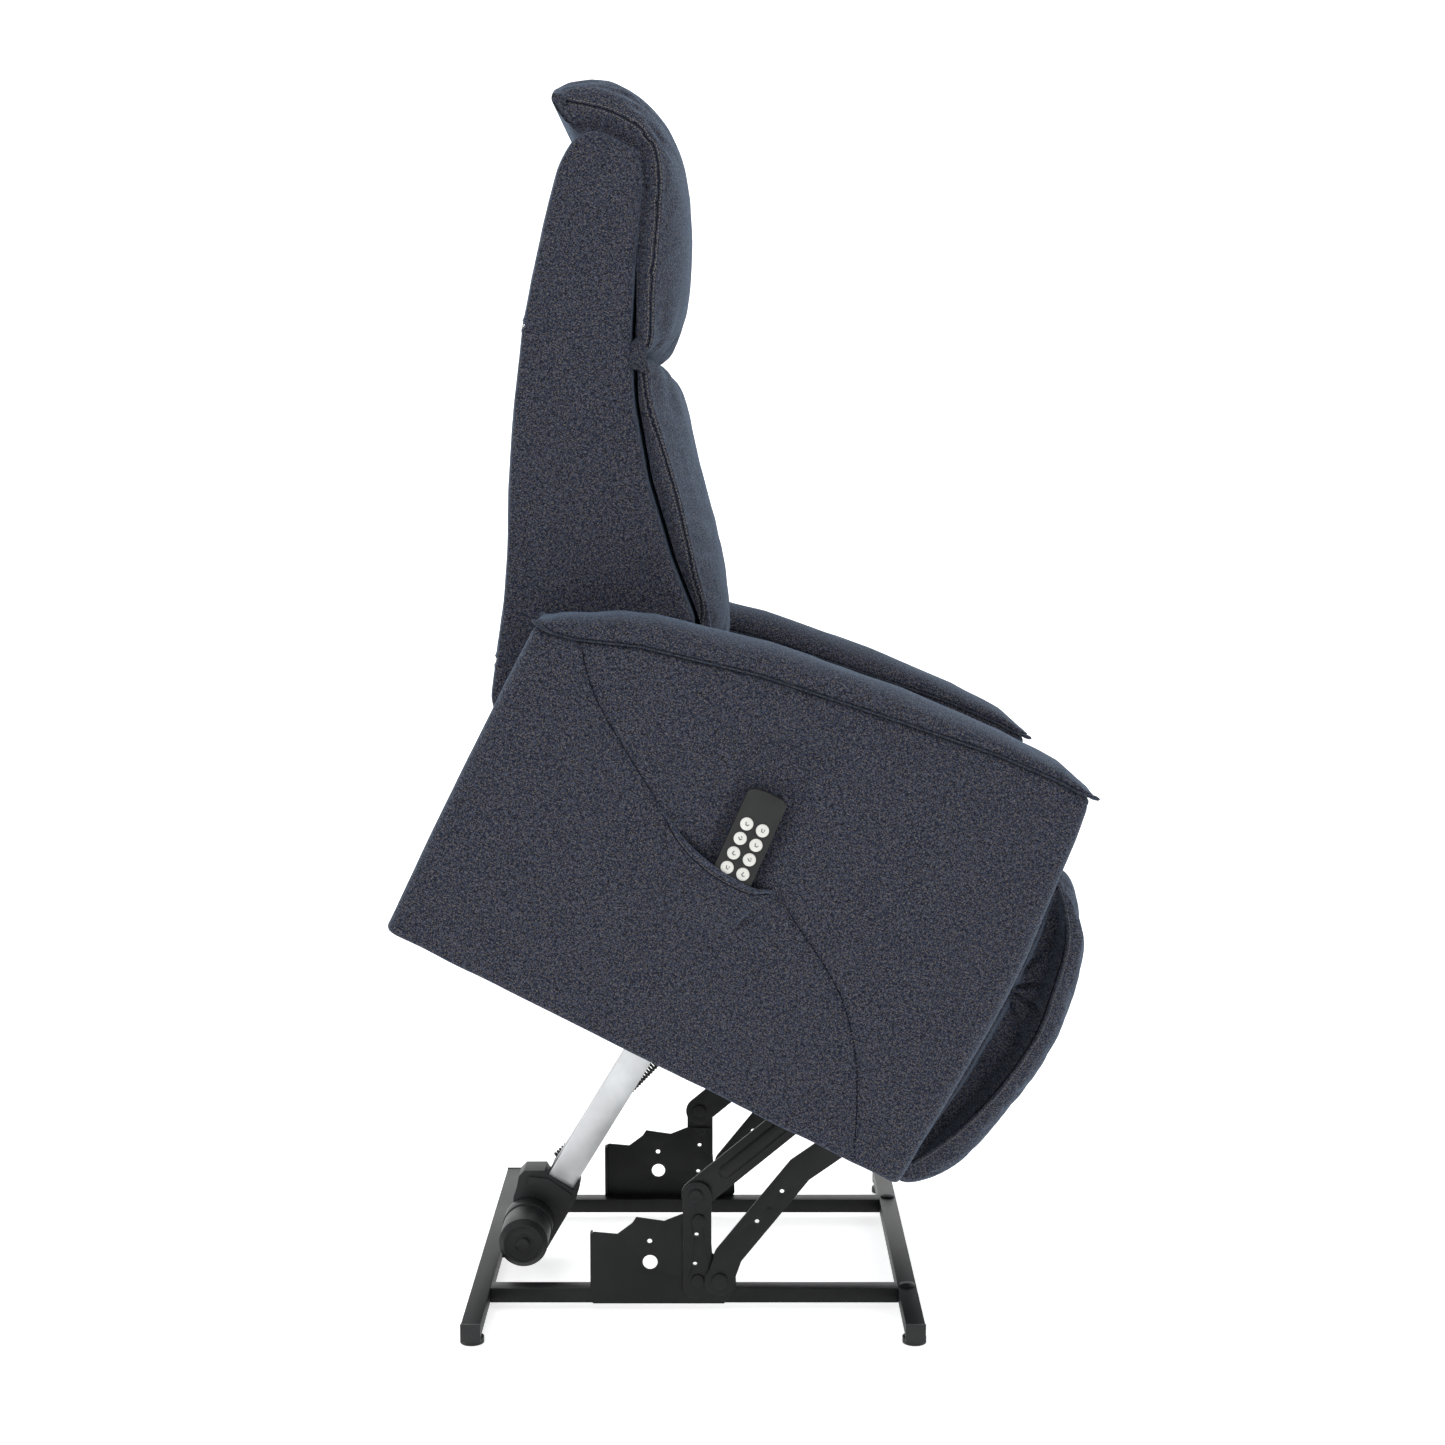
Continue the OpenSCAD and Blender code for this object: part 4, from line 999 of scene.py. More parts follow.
def arm(side, name):
    left = side > 0
    plan = arm_plan(outer_spacing=8.0 if left else 3.2)
    rings = arm_rings(plan, spacing=8.0 if left else 3.6)
    points = np.vstack(rings)
    shape_arm(points, left)
    points[:, 1] *= side
    count = len(plan)
    faces = []
    for k in range(len(rings) - 1):
        faces += bridge(k * count, (k + 1) * count, count)
    faces.append(tuple(range(count - 1, -1, -1)))
    lining_rows = 3
    slots = np.zeros(len(faces))
    slots[:lining_rows * count] = slots[-1] = 1
    ob = add_mesh("arm_upholstery_" + name, to_world(points), faces, [NAVY, LINING], slots=slots)
    face_outward(ob, merge=0.00002)
    return attach(ob, "seat_frame", replaces=("arm_cover_" + name,))


def arm_welt(side, name):
    """Thin lip round the top panel that grows into small ears at the corners."""
    outline = [point for side_x, side_y, first in ((1, 1, 90), (1, -1, 0), (-1, -1, -90),
                                                   (-1, 1, -180))
               for point in corner(side_x, side_y, first, 8, 9)]
    loop = even(np.array(outline + outline[:1]), 420)[:-1]
    middle, half = (WELT_FRONT + WELT_REAR) / 2, (WELT_FRONT - WELT_REAR) / 2
    x = middle + loop[:, 0] / ARM_HALF_LENGTH * half
    y = loop[:, 1] + ARM_Y
    centre = np.stack([x, y, seam_z(x) + 0.5], 1)
    outward = np.zeros_like(centre)
    outward[:, :2] = loop - inset(loop, 1.0)
    outward = unit(outward)
    ear = np.zeros(len(loop))
    for ear_x in (WELT_REAR + 3, WELT_FRONT - 3):
        for ear_y in (5 - ARM_HALF_WIDTH, ARM_HALF_WIDTH - 5):
            ear = np.maximum(ear, bell(np.hypot(x - ear_x, y - ARM_Y - ear_y), 13))
    reach = (3.0 + 0.4 * lattice(centre, 18, 3) + ear * 10.0)[:, None]
    thickness = (1.35 + ear * 2.2)[:, None]
    lift = ear * 6.0
    centre[:, 2] += lift * 0.5
    root = 4.0  # how far the lip starts inside the seam
    sides = 10
    angle = np.arange(sides) * 2 * math.pi / sides
    cos, sin = np.cos(angle), np.sin(angle)
    out = -root + (reach + root) * 0.5 * (1 + cos)
    rise = thickness * sin * (0.75 + 0.25 * cos) + 0.35 * lift[:, None] * (0.5 + 0.5 * cos)
    points = centre[:, None] + outward[:, None] * out[..., None]
    points[..., 2] += rise
    points[..., 1] *= side
    faces = []
    for i in range(len(loop)):
        faces += bridge(i * sides, (i + 1) % len(loop) * sides, sides)
    attach(add_solid("arm_top_welt_" + name, points, faces, WELT), "seat_frame")


arms = {}
for side, name in reversed(SIDES):
    arms[name] = arm(side, name)
    arm_welt(side, name)


# ------------------------------------------------------------ cushions
def crowned(name, middle, side, rear, half_width, fullness, flatness, rounding, voxel):
    """Closed pad whose face runs from the side profile at its edges to the
    middle profile at the centre; the rear profile is shared."""
    middle, side = (even(spline(profile, 300), 110) for profile in (middle, side))
    rear = even(np.asarray(rear, float), 82)[1:-1]
    middle = side + (middle - side) * fullness
    shares = [1.0, 0.985, 0.955, 0.91, 0.85, 0.77, 0.66, 0.52, 0.36, 0.18]
    levels = []
    for y in ([-share * half_width for share in shares] + [0.0]
              + [share * half_width for share in reversed(shares)]):
        weight = (1 - (abs(y) / half_width) ** flatness) ** rounding
        levels.append((y, np.vstack([side + (middle - side) * weight, rear])))
    ob = loft(name, levels, NAVY, cap_steps=4)
    remesh(ob, voxel)
    relax(ob, 2, 0.5)
    return ob


def cushion(name, middle, side, rear, half_width, fullness, flatness, puff_limit, pressure,
            rear_pin, side_pin, rounding=0.62, voxel=5.5):
    """A puffed pad. rear_pin is (reach, falloff) of the held zone along the rear;
    side_pin is the hold along the two side seams."""
    ob = crowned(name, middle, side, rear, half_width, fullness, flatness, rounding, voxel)
    points = chair_points(ob)
    reach, falloff = rear_pin
    distance, _ = to_curve(points[:, [0, 2]], np.asarray(rear, float))
    pin = 1 - smooth(reach, reach + falloff, distance)
    for y in (-half_width, half_width):
        distance, _ = to_curve(points, at_side(spline(side, 120), y))
        pin = np.maximum(pin, side_pin * (1 - smooth(5, 5 + 9, distance)))
    puff(ob, puff_limit, pressure, pin)
    subdivide(ob)
    return ob


# ---- head pillow; all profiles are (x, z), the middle and side ones from one end of
# the face to the other, the rear one back again
PILLOW_HALF = 231
PILLOW_MIDDLE = [
    (-389, 816), (-372, 822), (-365, 836), (-369, 866), (-380, 913), (-395, 955),
    (-412, 993), (-436, 1034), (-462, 1068), (-488, 1097), (-515, 1115), (-545, 1127),
    (-580, 1128), (-609, 1121), (-634, 1102), (-647, 1080)]
PILLOW_SIDE = [
    (-392, 822), (-386, 830), (-384, 838), (-394, 862), (-407, 887), (-425, 930),
    (-440, 967), (-455, 1004), (-473, 1040), (-491, 1060), (-513, 1071), (-540, 1073),
    (-569, 1070), (-592, 1064), (-612, 1058), (-624, 1052)]
PILLOW_REAR = [
    (-640, 1060), (-618, 1044), (-596, 1034), (-575, 1046), (-560, 1052), (-500, 1051),
    (-477, 1016), (-441, 925), (-407, 846), (-394, 820)]


def pillow_detail(points, normals):
    shaped = points.copy()
    _, y, z = points.T
    flat = points[:, [0, 2]]
    off_centre = np.abs(y)
    rear, _ = to_curve(flat, np.array(PILLOW_REAR, float))
    # soft handling marks on the face
    face = smooth(14, 34, rear) * smooth(4, 22, 236 - off_centre)
    marks = waves(points, (110, 41, 2.2), (46, 42, 1.0), (19, 43, 0.3))
    shaped += normals * (face * marks)[:, None]
    # gathered folds where the pillow meets the cushion below
    low = bell(z - 838, 55.0) * smooth(5, 25, rear)
    folds = np.sin(y / 10.5 + 1.8 * lattice(points * [0.3, 1, 0.3], 40, 44))
    shaped += normals * (low * 2.3 * folds * smooth(70, 200, off_centre))[:, None]
    # cross folds that follow the side seam
    seam, along = to_curve(flat, spline(PILLOW_SIDE, 160))
    folds = np.sin(along * 150 + 3 * lattice(points, 30, 45))
    at_edge = smooth(206, 226, off_centre)
    shaped += normals * (at_edge * np.exp(-seam / 14.0) * 0.7 * folds)[:, None]
    # the sides sink towards the shell
    shaped[:, 1] -= np.sign(y) * smooth(222, 230, off_centre) * bell(rear, 8.5) * 11
    return shaped


pillow = cushion("head_pillow_cover", PILLOW_MIDDLE, PILLOW_SIDE, PILLOW_REAR, PILLOW_HALF,
                 fullness=0.88, flatness=3.6, puff_limit=12, pressure=4.2,
                 rear_pin=(2.5, 12), side_pin=0.85)
reshape(pillow, pillow_detail)
for side, _ in SIDES:
    groove(pillow, side_curve(PILLOW_SIDE[2:-1], side * (PILLOW_HALF + 2)),
           depth=2.4, width=3.0, lip=0.9)
attach(pillow, "backrest", replaces=("head_pillow",))

# ---- lumbar cushion
LUMBAR_HALF = 230
LUMBAR_MIDDLE = [
    (-388, 812), (-378, 824), (-364, 831), (-343, 814), (-321, 792), (-285, 750),
    (-258, 718), (-231, 686), (-203, 654), (-176, 621), (-158, 596), (-145, 575),
    (-126, 542), (-117, 512), (-117, 484)]
LUMBAR_SIDE = [
    (-390, 812), (-388, 822), (-384, 818), (-371, 798), (-355, 774), (-323, 741),
    (-291, 708), (-265, 680), (-240, 650), (-214, 619), (-188, 588), (-168, 563),
    (-156, 540), (-151, 512), (-150, 484)]
LUMBAR_REAR = [
    (-152, 478), (-167, 477), (-169, 500), (-162, 551), (-231, 612), (-304, 689),
    (-365, 770), (-385, 808)]


def lumbar_detail(points, normals):
    shaped = points.copy()
    _, y, z = points.T
    off_centre = np.abs(y)
    rear, _ = to_curve(points[:, [0, 2]], np.array(LUMBAR_REAR, float))
    face = smooth(10, 26, rear) * smooth(4, 22, 236 - off_centre)
    marks = waves(points, (100, 51, 2.0), (42, 52, 0.9), (18, 53, 0.3))
    shaped += normals * (face * marks)[:, None]
    # gathered folds at the top
    top = bell(z - 815, 42.0) * smooth(3, 18, rear)
    folds = np.sin(y / 11.5 + 1.8 * lattice(points * [0.3, 1, 0.3], 40, 54))
    shaped += normals * (top * 2.0 * folds * smooth(60, 200, off_centre))[:, None]
    # the sides sink towards the shell
    shaped[:, 1] -= np.sign(y) * smooth(220, 229, off_centre) * bell(rear, 8.0) * 10
    return shaped


lumbar = cushion("lumbar_cover", LUMBAR_MIDDLE, LUMBAR_SIDE, LUMBAR_REAR, LUMBAR_HALF,
                 fullness=0.86, flatness=3.6, puff_limit=14, pressure=4.2,
                 rear_pin=(2.5, 12), side_pin=0.85)
reshape(lumbar, lumbar_detail)
for side, _ in SIDES:
    groove(lumbar, side_curve(LUMBAR_SIDE[2:], side * (LUMBAR_HALF + 2)),
           depth=2.4, width=3.0, lip=0.9)
attach(lumbar, "backrest", replaces=("lumbar_cushion",))

# ---- seat cushion; its "rear" profile is the underside
SEAT_HALF = 229
SEAT_SEAM_X, SEAT_SEAM_Z = 352, 392  # the seam across the front
SEAT_MIDDLE = [
    (-198, 398), (-200, 440), (-194, 458), (-160, 468), (-60, 472), (60, 472), (180, 471),
    (270, 468), (312, 463), (338, 450), (352, 428), (356, 396), (352, 362)]
SEAT_SIDE = [
    (-196, 398), (-197, 424), (-190, 438), (-160, 445), (-60, 447), (60, 447), (180, 447),
    (270, 445), (306, 440), (326, 428), (336, 410), (338, 386), (334, 358)]
SEAT_UNDER = [(330, 338), (326, 336), (60, 336), (-196, 336), (-198, 372)]


def seat_detail(points, normals):
    shaped = points.copy()
    top = smooth(0.3, 0.9, normals[:, 2])
    marks = waves(points, (130, 61, 2.4), (52, 62, 1.1), (20, 63, 0.3))
    shaped += normals * (marks * np.maximum(top, 0.3))[:, None]
    shaped[:, 2] = np.maximum(shaped[:, 2], 334.5)
    # a drag runs in from each front corner
    for side, _ in SIDES:
        shaped[:, 2] -= top * drag(points[:, :2], (330, side * 225), (150, side * 120), 2.4, 16)
    return shaped


seat = cushion("seat_cover", SEAT_MIDDLE, SEAT_SIDE, SEAT_UNDER, SEAT_HALF,
               fullness=0.85, flatness=3.0, puff_limit=16, pressure=4.0,
               rear_pin=(4, 14), side_pin=0.8, voxel=6.5)
reshape(seat, seat_detail)
for side, _ in SIDES:
    groove(seat, side_curve(SEAT_SIDE[2:], side * (SEAT_HALF + 1)), depth=2.2, width=3.2, lip=0.8)
groove(seat, across(SEAT_SEAM_X, SEAT_SEAM_Z, 222, 120), depth=2.4, width=3.2, lip=0.9)
attach(seat, "seat_frame", replaces=("seat_cushion",))

# ---- legrest pad
PAD_HALF = 231
PAD_MIDDLE = [
    (399, 474), (410, 471), (420, 465), (439, 452), (454, 438), (466, 421), (475, 404),
    (482, 385), (488, 358), (492, 330), (496, 294), (498, 257), (496, 219), (489, 177),
    (480, 135), (469, 99), (458, 70), (445, 45), (434, 27), (424, 16), (412, 10), (399, 10)]
PAD_SIDE = [
    (396, 460), (403, 457), (411, 450), (424, 436), (440, 414), (451, 388), (458, 358),
    (463, 329), (468, 300), (470, 267), (467, 230), (461, 190), (451, 150), (437, 110),
    (421, 76), (404, 46)]
PAD_REAR = [(398, 24), (397.5, 60), (398, 150), (398, 250), (398, 350), (398, 430), (397, 444)]
BOARD_X = 398
NOTCH_X, NOTCH_Z = 409.0, 305.0  # where the side pleats meet


def pad_detail(points, normals):
    shaped = points.copy()
    x, y, z = points.T
    seam_curve = spline(PAD_SIDE[1:], 220)
    seam, along = to_curve(points[:, [0, 2]], seam_curve)
    seam_x = np.interp(z, seam_curve[::-1, 1], seam_curve[::-1, 0])
    behind = x < seam_x
    face = (~behind) * smooth(2, 16, seam)
    marks = waves(points, (110, 71, 2.0), (44, 72, 0.9), (18, 73, 0.3))
    shaped += normals * (face * marks)[:, None]
    # the front is fuller towards the bottom
    fullness = face * (7.0 + 7.0 * (1 - smooth(60, 170, z)))
    shaped += normals * [1.0, 0.0, 1.0] * fullness[:, None]
    # sides: hollow behind the welt, full again in two lobes next to the board
    inward = np.clip((seam_x - x) / np.maximum(seam_x - BOARD_X, 1), 0, 1)
    at_side_panel = smooth(214, 226, np.abs(y)) * behind
    wide = smooth(6, 40, seam_x - BOARD_X)
    lobe = smooth(0.60, 0.80, inward) * (1 - 0.85 * bell(z - NOTCH_Z, 12.0)) * smooth(50, 120, z)
    hollow = smooth(0.03, 0.30, inward) * (1 - 0.92 * lobe)
    # pleats fan out from the notch to the seam
    turn = np.arctan2(z - NOTCH_Z, x - NOTCH_X)
    distance = np.hypot(z - NOTCH_Z, x - NOTCH_X)
    wander = lattice(points * [1, 0.1, 1], 45, 74)
    fan = (1 - np.abs(np.sin(turn * 4.6 + 0.9 * wander))) ** 2.5
    fan *= smooth(4, 18, distance) * smooth(0.02, 0.2, inward) * bell(distance, 95) * (1 - lobe)
    wander = lattice(points * [1, 0.1, 1], 22, 75)
    gather = np.sin(along * 120 + 2.6 * wander) * np.exp(-seam / 13.0) * smooth(1.5, 6, seam)
    depth = (30 * hollow + 15.0 * fan - 2.3 * gather) * wide
    shaped[:, 1] -= np.sign(y) * at_side_panel * depth
    return shaped


pad = cushion("legrest_cover", PAD_MIDDLE, PAD_SIDE, PAD_REAR, PAD_HALF,
              fullness=0.84, flatness=8.0, rounding=0.5, puff_limit=8, pressure=4.0,
              rear_pin=(3, 12), side_pin=0.9)
reshape(pad, pad_detail)
relax(pad, 1, 0.3)
attach(pad, "legrest", replaces=("legrest_pad",))

# ------------------------------------------------------------ back shell
SHELL = [  # closed side outline, (x, z), from the bottom front round the rear edge
    (-214, 352), (-240, 332), (-300, 330), (-356, 331), (-364, 338), (-380, 386),
    (-405, 460), (-434, 530), (-466, 599), (-505, 692), (-540, 786), (-559, 860),
    (-577, 933), (-588, 983), (-587, 1022), (-576, 1040), (-556, 1047), (-514, 1047),
    (-500, 1042), (-481, 1015), (-445, 923), (-411, 843), (-369, 767), (-308, 686),
    (-235, 609), (-168, 550), (-176, 500), (-186, 484), (-206, 476), (-209, 420)]
SHELL_REAR = np.array(SHELL[4:16], float)
SHELL_FRONT = np.array([
    (-560, 1049), (-501, 1048), (-480, 1016), (-444, 924), (-410, 844), (-367, 768),
    (-306, 687), (-234, 610), (-166, 550), (-172, 500), (-182, 476)], float)
SHELL_LEVELS = [  # distance from the middle, inset of the outline
    (238.5, 13), (237.9, 8.5), (236, 5), (232.5, 2.6), (227.5, 0.9),
    (220, 0.1), (205, 0), (150, -1.0), (90, -2.0), (30, -2.4)]


def shell_detail(points, normals):
    shaped = points.copy()
    y = points[:, 1]
    flat = points[:, [0, 2]]
    off_centre = np.abs(y)
    at_edge = smooth(228, 236, off_centre)
    front, _ = to_curve(flat, SHELL_FRONT)
    rear, _ = to_curve(flat, SHELL_REAR)
    inside = smooth(4, 60, np.minimum(front, rear))
    wave = waves(points, (130, 81, 1.3), (56, 82, 0.7), (22, 83, 0.25))
    shaped[:, 1] += np.sign(y) * at_edge * (
        inside * 1.6 + wave * 0.8 - 3.0 * bell(front, 10))
    # the rear panel is full in the middle
    rear_face = (1 - at_edge) * smooth(0.2, 0.8, -normals[:, 0])
    fullness = 1.2 * np.cos(np.pi * np.clip(off_centre / 236, 0, 1))
    shaped += normals * (rear_face * (wave + fullness))[:, None]
    # a faint drag from the kink in the rear edge
    shaped[:, 1] -= np.sign(y) * at_edge * drag(flat, (-540, 786), (-440, 770), 1.3, 12)
    return shaped


def back_shell():
    outline = even(np.array(SHELL + SHELL[:1], float), 301)[:-1]
    for _ in range(3):
        outline = 0.25 * np.roll(outline, 1, 0) + 0.5 * outline + 0.25 * np.roll(outline, -1, 0)
    half = [(y, inset(outline, depth)) for y, depth in SHELL_LEVELS]
    levels = [(-y, loop) for y, loop in half] + half[::-1]
    ob = loft("back_shell_cover", levels, NAVY, cap_steps=6)
    remesh(ob, 5.5)
    relax(ob, 3, 0.5)
    subdivide(ob)
    reshape(ob, shell_detail)
    return ob


SHELL_SEAMS = [  # name, x, z, groove depth of the two seams across the rear
    ("upper", -541, 786, 2.6), ("lower", -381, 390, 2.4)]
shell = back_shell()
for _, x, z, depth in SHELL_SEAMS:
    groove(shell, across(x, z, 233, 160), depth, width=2.8, lip=1.2)
for side, _ in SIDES:
    kink = np.array([(-540, 786), (-531, 785), (-520, 786)], float)
    groove(shell, at_side(kink, side * 236), depth=1.0, width=2.4, lip=0.3)
attach(shell, "backrest", replaces=("back_shell",))


# ------------------------------------------------------------ seams and stitches
def legrest_edge(side, name):
    """Sewn welt along the pad's side, a dark sweep of painted shadow in the crease behind it,
    stitches before it.
    """
    edge = side_curve(PAD_SIDE[1:], side * PAD_HALF)
    tree = tree_of(pad)
    curve, normals = settle(*nearest(edge, tree), 3, 6)
    wobble = 1 + 0.06 * lattice(curve, 9, 2)[:, None]
    attach(sweep("legrest_welt_" + name, curve + normals * 0.8, normals, oval(2.5, 10),
                 WELT, scale=wobble), "legrest")
    # painted shadow: a near-black sweep lying in the crease behind the welt
    curve, normals = nearest(edge + [-3.3, 0, 0], tree)
    curve, normals = soften(curve, 3), soften(normals, 8)
    attach(sweep("legrest_crease_shadow_" + name, curve + normals * 0.2, normals, oval(0.95, 8),
                 PAINTED_SEAM_SHADOW), "legrest")
    fine_seam("legrest_seam_" + name, pad, edge + [4.6, 0, 0], "legrest",
              offsets=(0.0,), line=False)


def arm_s_seam(name, points, count):
    """Dark line of painted shade in the pressed S seam, thinning out at both ends."""
    cast_from = at_side(spline(points, count), CAST_Y)
    curve, normals = settle(*project_left(cast_from, tree_of(arms["right"])), 3, 8)
    place = np.arange(count)
    taper = np.clip(np.minimum(place, count - 1 - place) / 12.0, 0.15, 1)[:, None]
    attach(sweep("arm_s_seam_" + name, curve + normals * 0.5, normals, oval(0.6, 8, 1.3),
                 PAINTED_CREASE_SHADE, scale=taper), "seat_frame")


CAST_Y = -470  # a plane outside the right arm
for side, name in SIDES:
    fine_seam("pillow_seam_" + name, pillow,
              side_curve(PILLOW_SIDE[1:], side * (PILLOW_HALF + 1)), "backrest")
    fine_seam("lumbar_seam_" + name, lumbar,
              side_curve(LUMBAR_SIDE[2:], side * (LUMBAR_HALF + 1)), "backrest")
    fine_seam("seat_seam_" + name, seat,
              side_curve(SEAT_SIDE[1:], side * (SEAT_HALF + 1)), "seat_frame")
    legrest_edge(side, name)
for name, x, z, _ in SHELL_SEAMS:
    fine_seam("shell_seam_" + name, shell, across(x, z, 228, 200), "backrest", offsets=(4.5,))
fine_seam("seat_front_seam", seat, across(SEAT_SEAM_X, SEAT_SEAM_Z, 220, 200), "seat_frame",
          offsets=(4.0, -4.0))
arm_s_seam("upper", SEAM_UPPER, 150)
arm_s_seam("lower", SEAM_LOWER, 170)


def corner_ear(name, tip, root_start, root_end, y, thickness):
    """A sewn corner: a small flat tab that comes to a rounded point."""
    tip, start, end = (np.array(point, float) for point in (tip, root_start, root_end))
    steps = 9
    points = []
    for face in (-1, 1):
        for i in range(steps + 1):
            out = i / steps
            middle = (start + end) / 2 * (1 - out) + tip * out
            half = (end - start) / 2 * (1 - out ** 2.2) ** 0.5
            taper = (1 - 0.45 * out) * math.sqrt(max(0.0, 1 - out ** 6))
            for j in range(steps + 1):
                share = j / steps * 2 - 1
                x, z = middle + half * share
                height = thickness / 2 * math.sqrt(max(0.0, 1 - share * share)) * taper
                height += 0.3 * math.sin(9 * out + 3 * share)
                points.append((x, y + face * max(height, 0.05), z))
    ob = add_solid(name, points, sheet_faces(steps + 1, steps + 1), WELT, merge=0.00004)
    attach(ob, "backrest")


for side, name in SIDES:
    corner_ear("lumbar_ear_" + name, tip=(-398, 842), root_start=(-398, 800),
               root_end=(-372, 804), y=side * 230, thickness=8)
    corner_ear("pillow_corner_" + name, tip=(-631, 1058), root_start=(-611, 1064),
               root_end=(-612, 1049), y=side * 231, thickness=9)


# ------------------------------------------------------------ pouch on the right arm
def pouch_surface():
    """Grid of x, distance out from the chair's middle, and z; row 0 is the mouth."""
    columns, rows = 110, 54
    mouth_x, mouth_z = spline(MOUTH, columns).T
    along = np.linspace(0, 1, columns)[None, :]
    down = (np.arange(rows) / (rows - 1))[:, None]
    depth = 128 * np.sin(np.pi * along) ** 0.55 + 1.5
    x = mouth_x + (HANDSET_X - mouth_x) * 0.30 * down ** 1.15
    z = mouth_z - depth * down ** 1.15
    flat_x, flat_z = x.ravel(), z.ravel()
    cast_from = at_side(np.stack([flat_x, flat_z], 1), CAST_Y)
    hits, _ = project_left(cast_from, tree_of(arms["right"]))
    # the arm's own surface with its sink behind the mouth filled
    sink = mouth_sink(flat_x, flat_z) * (1 - handset_room(flat_x, flat_z))
    base = (-hits[:, 1] + sink).reshape(rows, columns)
    # the cloth hugs the handset, and eases down to the arm round it
    sideways, lengthwise = handset_axes(x, z)
    gap = box_distance(sideways, lengthwise + 6, 26.0, 72)
    hug = 1 - smooth(0.0, 52.0, gap)
    filled = base + np.maximum(0, 387.2 - base) * (1 - smooth(22, 44, gap))
    out = filled * (1 - hug) + 399.6 * hug
    # the lip stands a little open
    out += 4.6 * bell(down, 0.10) * np.sin(np.pi * along) ** 0.8 * (1 - hug * 0.75)
    edge = smooth(0, 0.07, along) * smooth(0, 0.20, 1 - along) * smooth(0, 0.60, 1 - down)
    points = np.stack([flat_x, out.ravel(), flat_z], 1)
    out += waves(points, (40, 91, 0.7), (17, 92, 0.3)).reshape(rows, columns) * edge
    out = out * edge + (base - 1.2) * (1 - edge)
    return x, np.minimum(out, 403.5), z


def pouch():
    x, out, z = pouch_surface()
    rows, columns = x.shape
    thickness = 1.7
    points = np.stack([np.stack([x, -(out - thickness * k), z], -1) for k in range(2)])
    flap = add_solid("pouch_flap", points, sheet_faces(rows, columns), NAVY)
    attach(flap, "seat_frame", replaces=("remote_pocket",))
    # rolled hem along the mouth in a lighter fabric copy that paints light on the roll, a dark
    # line of painted crease shade and a line of stitches under it
    lip = np.stack([x[0], -(out[0] - thickness / 2), z[0]], 1)[1:-1]
    swell = 0.25 + 0.75 * np.sin(np.pi * np.linspace(0.0, 1, columns)) ** 0.35
    # the hem is swept in the lighter fabric copy, painted light on the roll
    hem = sweep("pouch_hem", lip, np.tile([0, -1.0, 0.0], (len(lip), 1)), oval(2.8, 12),
                LIT_HEM_FABRIC, scale=swell[1:-1, None])
    attach(hem, "seat_frame")
    tree = tree_of(flap)
    line = at_side(np.stack([x[5], z[5]], 1), CAST_Y)[8:-8]
    curve, normals = project_left(line, tree)
    attach(sweep("pouch_hem_line", soften(curve, 3) + normals * 0.1, soften(normals, 6),
                 oval(0.65, 8, 1.3), PAINTED_CREASE_SHADE), "seat_frame")
    curve, normals = project_left(line + [0.4, 0, 1.8], tree)
    attach(stitches("pouch_stitches", soften(curve, 3), soften(normals, 6),
                    pitch=4.2, dash=2.9, radius=0.36), "seat_frame")


pouch()

# ------------------------------------------------------------ handset marks
BUTTON_COLUMN, BUTTON_PITCH = 10.5, 19.6
FIRST_BUTTON = HANDSET_HALF - 45
MARK_INNER, MARK_OUTER = 398.42, 398.72  # distance out from the chair's middle
MARK_TURNS = [0, 0, 35, 0, -25, 30, 0, -35]  # degrees, by button
BACK_AND_SEAT = [  # start, end (across, along), half width of each bar
    ((-1.6, 2.2), (-0.7, -1.2), 0.55), ((-0.8, -1.3), (1.9, -1.5), 0.55)]
UPPER_BAR = ((2.2, 2.4), (2.2, 0.2), 0.45)
LOWER_BAR = ((1.9, -1.4), (3.0, 0.4), 0.45)


def button_mark(i):
    """A small seat-like sign of three bars on a button."""
    centre_across = -BUTTON_COLUMN if i % 2 == 0 else BUTTON_COLUMN
    centre_along = FIRST_BUTTON - BUTTON_PITCH * (i // 2)
    turn = math.radians(MARK_TURNS[i])
    points, faces = [], []
    for start, end, width in BACK_AND_SEAT + [UPPER_BAR if i % 4 in (1, 2) else LOWER_BAR]:
        start, end = np.array(start), np.array(end)
        ahead = (end - start) / np.linalg.norm(end - start)
        wide = np.array([-ahead[1], ahead[0]]) * width
        point = ahead * width
        ring = [start + wide - point * 0.3, start - wide - point * 0.3, end - wide,
                end - wide * 0.4 + point * 0.7, end + wide * 0.4 + point * 0.7, end + wide]
        faces += tube_faces(2, len(ring), base=len(points))
        for out in (MARK_INNER, MARK_OUTER):
            for x, y in ring:
                sideways = centre_across + x * math.cos(turn) - y * math.sin(turn)
                along = centre_along + x * math.sin(turn) + y * math.cos(turn)
                points.append((HANDSET_X + sideways * HANDSET_COS - along * HANDSET_SIN, -out,
                               HANDSET_Z + sideways * HANDSET_SIN + along * HANDSET_COS))
    ob = add_solid(f"button_sign_{i + 1}", points, faces, MARK, smooth_shade=False)
    attach(ob, f"button_{i + 1}")


for i in range(8):
    button_mark(i)

